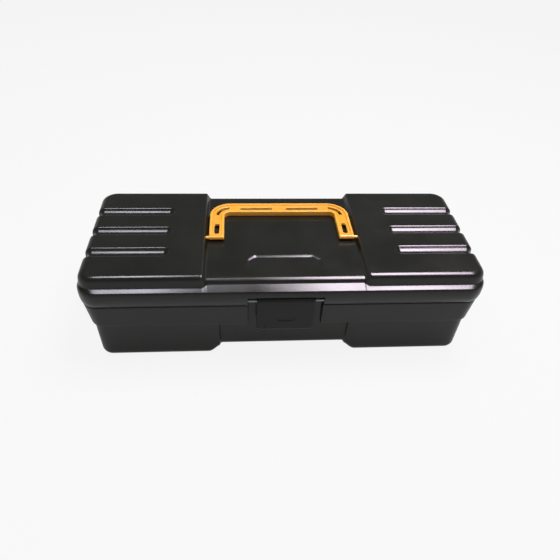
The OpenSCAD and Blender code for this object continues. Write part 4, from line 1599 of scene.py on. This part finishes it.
@dataclass
class Tray:
    """Lift-out tray: a drafted trough with a flange, three ribs and a finger grip."""

    size: Overall
    half_l: float = 151.8
    half_d: float = 55.3
    corner_r: float = 12.0
    tall: float = 24.0
    wall: float = 1.8
    draft: float = 2.5
    floor_r: float = 2.0
    flange_x: float = 2.8
    flange_y: float = 0.6
    flange_t: float = 1.8
    rib_half: float = 0.8
    grip_w: float = 92.0
    grip_up: float = 14.0
    grip_half: float = 1.5
    grip_r: float = 10.0
    hole_l: float = 68.0
    hole_h: float = 16.0
    hole_down: float = 6.0
    into_wall: float = 0.9

    def rings(self, low: float, top: float) -> Rings:
        """Rings from the middle of the bottom over the flange to the middle of the floor.

        The bottom edge is a quarter circle, in = draft + r (1 - sin a), z = low + r (1 - cos a);
        so is the floor's, one wall further in. The flange's edges are rounded by 0.5 mm.

        Args:
            low: Height of the bottom.
            top: Height of the rim.

        Returns:
            The rings.
        """
        r, e = self.floor_r, 0.5
        a = np.linspace(0.0, np.pi / 2, 7)
        under = top - self.flange_t
        turn_in, turn_up = r * (1 - np.sin(a)), r * (1 - np.cos(a))
        bottom_in, bottom_z = self.draft + turn_in, low + turn_up
        wall_z = np.linspace(bottom_z[-1], under, 9)[1:]
        wall_in = self.draft * (under - wall_z) / (under - bottom_z[-1])
        edge_in = np.concatenate([e * (1 - np.sin(a)), e * (1 - np.cos(a))])
        edge_z = np.concatenate([under + e * (1 - np.cos(a)), top - e * (1 - np.sin(a))])
        rim_in = self.wall + np.array([-0.4, -0.15, 0.0])
        rim_z = top - np.array([0.0, 0.12, 0.4])
        in_z = np.linspace(rim_z[-1], low + self.wall + r, 9)[1:]
        in_in = self.wall + self.draft * (rim_z[-1] - in_z) / (rim_z[-1] - in_z[-1])
        floor_in = self.draft + self.wall + turn_in[::-1][1:]
        floor_z = low + self.wall + turn_up[::-1][1:]
        inset = np.concatenate([bottom_in, wall_in, edge_in, rim_in, in_in, floor_in])
        z = np.concatenate([bottom_z, wall_z, edge_z, rim_z, in_z, floor_z])
        out = np.zeros(len(inset))
        first = len(bottom_in) + len(wall_in)
        out[first : first + len(edge_in)] = 1.0
        half_x = self.half_l - inset + self.flange_x * out
        half_y = self.half_d - inset + self.flange_y * out
        return Rings.of(half_x, half_y, self.corner_r - inset / 2, z)

    def upright(self, half: float, low: float, top: float) -> NDArray:
        """Outline of a rib with drafted ends, its upper corners rounded."""
        foot = half - self.draft - 1.0
        return softened(np.array([[-foot, low], [foot, low], [half, top], [-half, top]]), 0.4)

    def grip(self, low: float, top: float) -> list[Patch]:
        """Grip plate with a finger hole, as a sleeve across y whose bore is the hole.

        Plate and hole are rounded oblongs with as many points, corner by corner.

        Args:
            low: Height of its lower edge.
            top: Height of its upper edge.

        Returns:
            The patches.
        """
        half, hole = self.grip_w / 2, self.hole_l / 2
        hole_top = top - self.hole_down
        hole_low = hole_top - self.hole_h
        plate = softened(np.array([[-half, low], [half, low], [half, top], [-half, top]]), self.grip_r, 12)
        finger = softened(
            np.array([[-hole, hole_low], [hole, hole_low], [hole, hole_top], [-hole, hole_top]]),
            self.hole_h / 2, 12,
        )
        return [bar_along(1, plate, -self.grip_half, self.grip_half, 0.8, finger)]

    def build(self) -> list[Piece]:
        """Builds the tray as one piece.

        Returns:
            The pieces of the tray.
        """
        box_low, box_high = (np.array(c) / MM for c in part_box("lift_out_tray"))
        low, grip_top = box_low[2], box_high[2]
        top = grip_top - self.grip_up
        st = Stations(
            spread((0.0, 60.0, 5.0)), np.zeros(13), np.zeros(13), np.linspace(0.0, 1.0, 14)[1:-1],
            np.linspace(-1.0, 1.0, 14)[1:-1],
        )
        rings = self.rings(low, top)
        body = st.points(rings)
        caps = []
        for ring, z in ((body[0], low), (body[-1], low + self.wall)):
            plan = st.cap(ring, self.half_l - 22.0, self.half_d - 20.0)
            caps.append(sheet_patch(np.concatenate([plan, z + 0 * plan[..., :1]], axis=-1)))
        rib_low, rib_top = low + self.wall / 2, top - 1.0
        middle = self.upright(self.half_l - self.into_wall, rib_low, rib_top)
        long = bar_along(1, middle, -self.rib_half, self.rib_half, 0.3)
        patches = [sheet_patch(body, closed=True), *caps, long]
        depth = self.half_d - self.into_wall
        foot = depth - self.draft - 1.0
        cross = softened(np.array([[0.0, rib_low], [foot, rib_low], [depth, rib_top], [0.0, rib_top]]), 0.4)
        for x in (-self.half_l / 3, self.half_l / 3):
            patches.append(bar_along(0, cross, x - self.rib_half, x + self.rib_half, 0.3))
        patches += self.grip(rib_low, grip_top)
        tray = make_piece("tray_moulding", patches, self.size.shift_y)
        return [Piece(tray, "tray", "tray_plastic", Finish.TRAY, ("lift_out_tray",))]


# ---------------------------------------------------------------- stage


@dataclass(frozen=True)
class Softbox:
    """An area lamp: place and aim in metres, size in metres, power in watts.

    A gleam lamp shows only in reflections, so it draws highlights and lights no colour.
    """

    name: str
    place: tuple[float, float, float]
    aim: tuple[float, float, float]
    wide: float
    high: float
    power: float
    colour: str = "ffffff"
    gleam: bool = False

    def build(self) -> None:
        """Adds the lamp to the scene."""
        lamp = bpy.data.lights.new(self.name, "AREA")
        lamp.shape = "RECTANGLE"
        lamp.size, lamp.size_y, lamp.energy = self.wide, self.high, self.power
        lamp.color = linear(self.colour)[:3]
        obj = bpy.data.objects.new(self.name, lamp)
        obj.location = self.place
        obj.visible_diffuse = not self.gleam
        way = Vector(self.aim) - Vector(self.place)
        obj.rotation_euler = way.to_track_quat("-Z", "Y").to_euler()
        bpy.context.scene.collection.objects.link(obj)


@dataclass(frozen=True)
class Studio:
    """Pale floor, soft light and the camera."""

    lens_mm: float = 35.413
    pitch: float = 39.47
    yaw: float = 5.63
    roll: float = 2.90
    eye: tuple[float, float, float] = (-0.03713, -0.38530, 0.351349)
    walls: float = 0.5
    ceiling: float = 0.16
    floor_shown: float = 0.88
    floor_mirrored: float = 0.24
    floor_half: float = 6.0
    wall_top: float = 0.10
    ceiling_from: float = 0.42
    paper: str = "c4c4c4"
    lamps: tuple[Softbox, ...] = (
        Softbox("soft_right", (0.27, 0.05, 1.0), (0.03, 0.0, 0.05), 0.66, 0.40, 9.0, "fffaff"),
        Softbox("soft_left", (-0.30, 0.06, 1.0), (-0.03, 0.0, 0.05), 0.48, 0.20, 2.6, "f8f8ff"),
        Softbox("gleam_right", (0.36, 0.02, 0.98), (0.03, 0.0, 0.05), 0.80, 0.44, 21.0, "fbe8fb", True),
        Softbox("gleam_left", (-0.27, 0.06, 1.0), (-0.03, 0.0, 0.05), 0.44, 0.24, 3.0, "ececff", True),
    )

    def camera(self) -> None:
        """Adds the camera; its axes come from pitch, yaw and roll in degrees."""
        p, w, r = (math.radians(v) for v in (self.pitch, self.yaw, self.roll))
        ahead = Vector((math.sin(w) * math.cos(p), math.cos(w) * math.cos(p), -math.sin(p)))
        right = Vector((math.cos(w), -math.sin(w), 0.0))
        up = right.cross(ahead)
        across = right * math.cos(r) + up * math.sin(r)
        over = -right * math.sin(r) + up * math.cos(r)
        data = bpy.data.cameras.new("camera")
        data.lens, data.sensor_width, data.clip_start = self.lens_mm, 36.0, 0.01
        cam = bpy.data.objects.new("camera", data)
        turned = Matrix((across, over, -ahead)).transposed().to_4x4()
        cam.matrix_world = Matrix.Translation(Vector(self.eye)) @ turned
        bpy.context.scene.collection.objects.link(cam)
        bpy.context.scene.camera = cam

    def floor(self) -> None:
        """Adds a pale matt floor that keeps the object's shadow.

        To the camera a share floor_shown of it is plain white, and in a reflection a share
        floor_mirrored. The rest is lit and shaded.
        """
        mesh = bpy.data.meshes.new("floor")
        h = self.floor_half
        mesh.from_pydata([(-h, -h, 0), (h, -h, 0), (h, h, 0), (-h, h, 0)], [], [(0, 1, 2, 3)])
        obj = bpy.data.objects.new("floor", mesh)
        bpy.context.scene.collection.objects.link(obj)
        mat = blank_material("matt_white_paper")
        tree = mat.node_tree
        paper = add_node(tree, "BsdfDiffuse", {"Color": linear(self.paper)})
        white = add_node(tree, "Emission", {"Color": (1.0, 1.0, 1.0, 1.0), "Strength": 1.0})
        ray = add_node(tree, "LightPath").outputs
        seen = add_node(tree, "Math", {0: ray["Is Camera Ray"], 1: self.floor_shown}, operation="MULTIPLY")
        gloss = add_node(
            tree, "Math", {0: ray["Is Glossy Ray"], 1: ray["Is Transmission Ray"]}, operation="MAXIMUM"
        )
        gloss = add_node(tree, "Math", {0: gloss.outputs[0], 1: self.floor_mirrored}, operation="MULTIPLY")
        share = add_node(tree, "Math", {0: seen.outputs[0], 1: gloss.outputs[0]}, operation="MAXIMUM")
        both = add_node(tree, "MixShader", {0: share.outputs[0], 1: paper.outputs[0], 2: white.outputs[0]})
        add_node(tree, "OutputMaterial", {"Surface": both.outputs[0]})
        mesh.materials.append(mat)
        obj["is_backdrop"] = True

    def world(self) -> None:
        """Pale walls all round and a dimmer ceiling, as in a large white room."""
        world = bpy.data.worlds.new("studio")
        bpy.context.scene.world = world
        world.use_nodes = True
        tree = world.node_tree
        tree.nodes.clear()
        way = add_node(tree, "TexCoord").outputs["Generated"]
        up = add_node(tree, "SeparateXYZ", {0: way}).outputs["Z"]
        level = remap(
            tree, up, (self.wall_top, self.ceiling_from), (self.walls, self.ceiling),
            interpolation_type="SMOOTHSTEP",
        )
        back = add_node(tree, "Background", {"Color": (1.0, 1.0, 1.0, 1.0), "Strength": level})
        add_node(tree, "OutputWorld", {"Surface": back.outputs[0]})

    def build(self) -> None:
        """Adds floor, world, lamps and camera, and sets the plain view transform."""
        self.floor()
        self.world()
        for lamp in self.lamps:
            lamp.build()
        self.camera()
        bpy.context.scene.view_settings.view_transform = "Standard"


# ---------------------------------------------------------------- the whole


def dress_nodes(names: dict[str, Finish]) -> None:
    """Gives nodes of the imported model, whose shapes are right as they are, their finish.

    Args:
        names: Finish of each node, by its name.
    """
    for name, finish in names.items():
        finish.dress(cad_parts[name])
        LOG.info("%s: packed shape with finish %s", name, finish.name)


def corners() -> list[list[float]]:
    """Lowest and highest corner of all that shows, as plain lists of metres."""
    low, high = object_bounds()
    return [[float(v) for v in low], [float(v) for v in high]]


def main() -> None:
    """Builds the box sub-assembly by sub-assembly."""
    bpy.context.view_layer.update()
    Studio().build()
    size = Overall.from_frame()
    LOG.info("sizes from the frame: %s", size)
    pieces: list[Piece] = []
    for part in (Base(size), Tray(size), Lid(size), Latch(size), Handle(size)):
        made = part.build()
        for piece in made:
            piece.settle()
        pieces += made
    dress_nodes({
        "latch_pin": Finish.PIN, "hinge_pin_left": Finish.PIN, "hinge_pin_right": Finish.PIN,
    })
    LOG.info("%d pieces built", len(pieces))


if __name__ == "__main__":
    logging.basicConfig(level=logging.INFO, format="%(message)s")
    main()
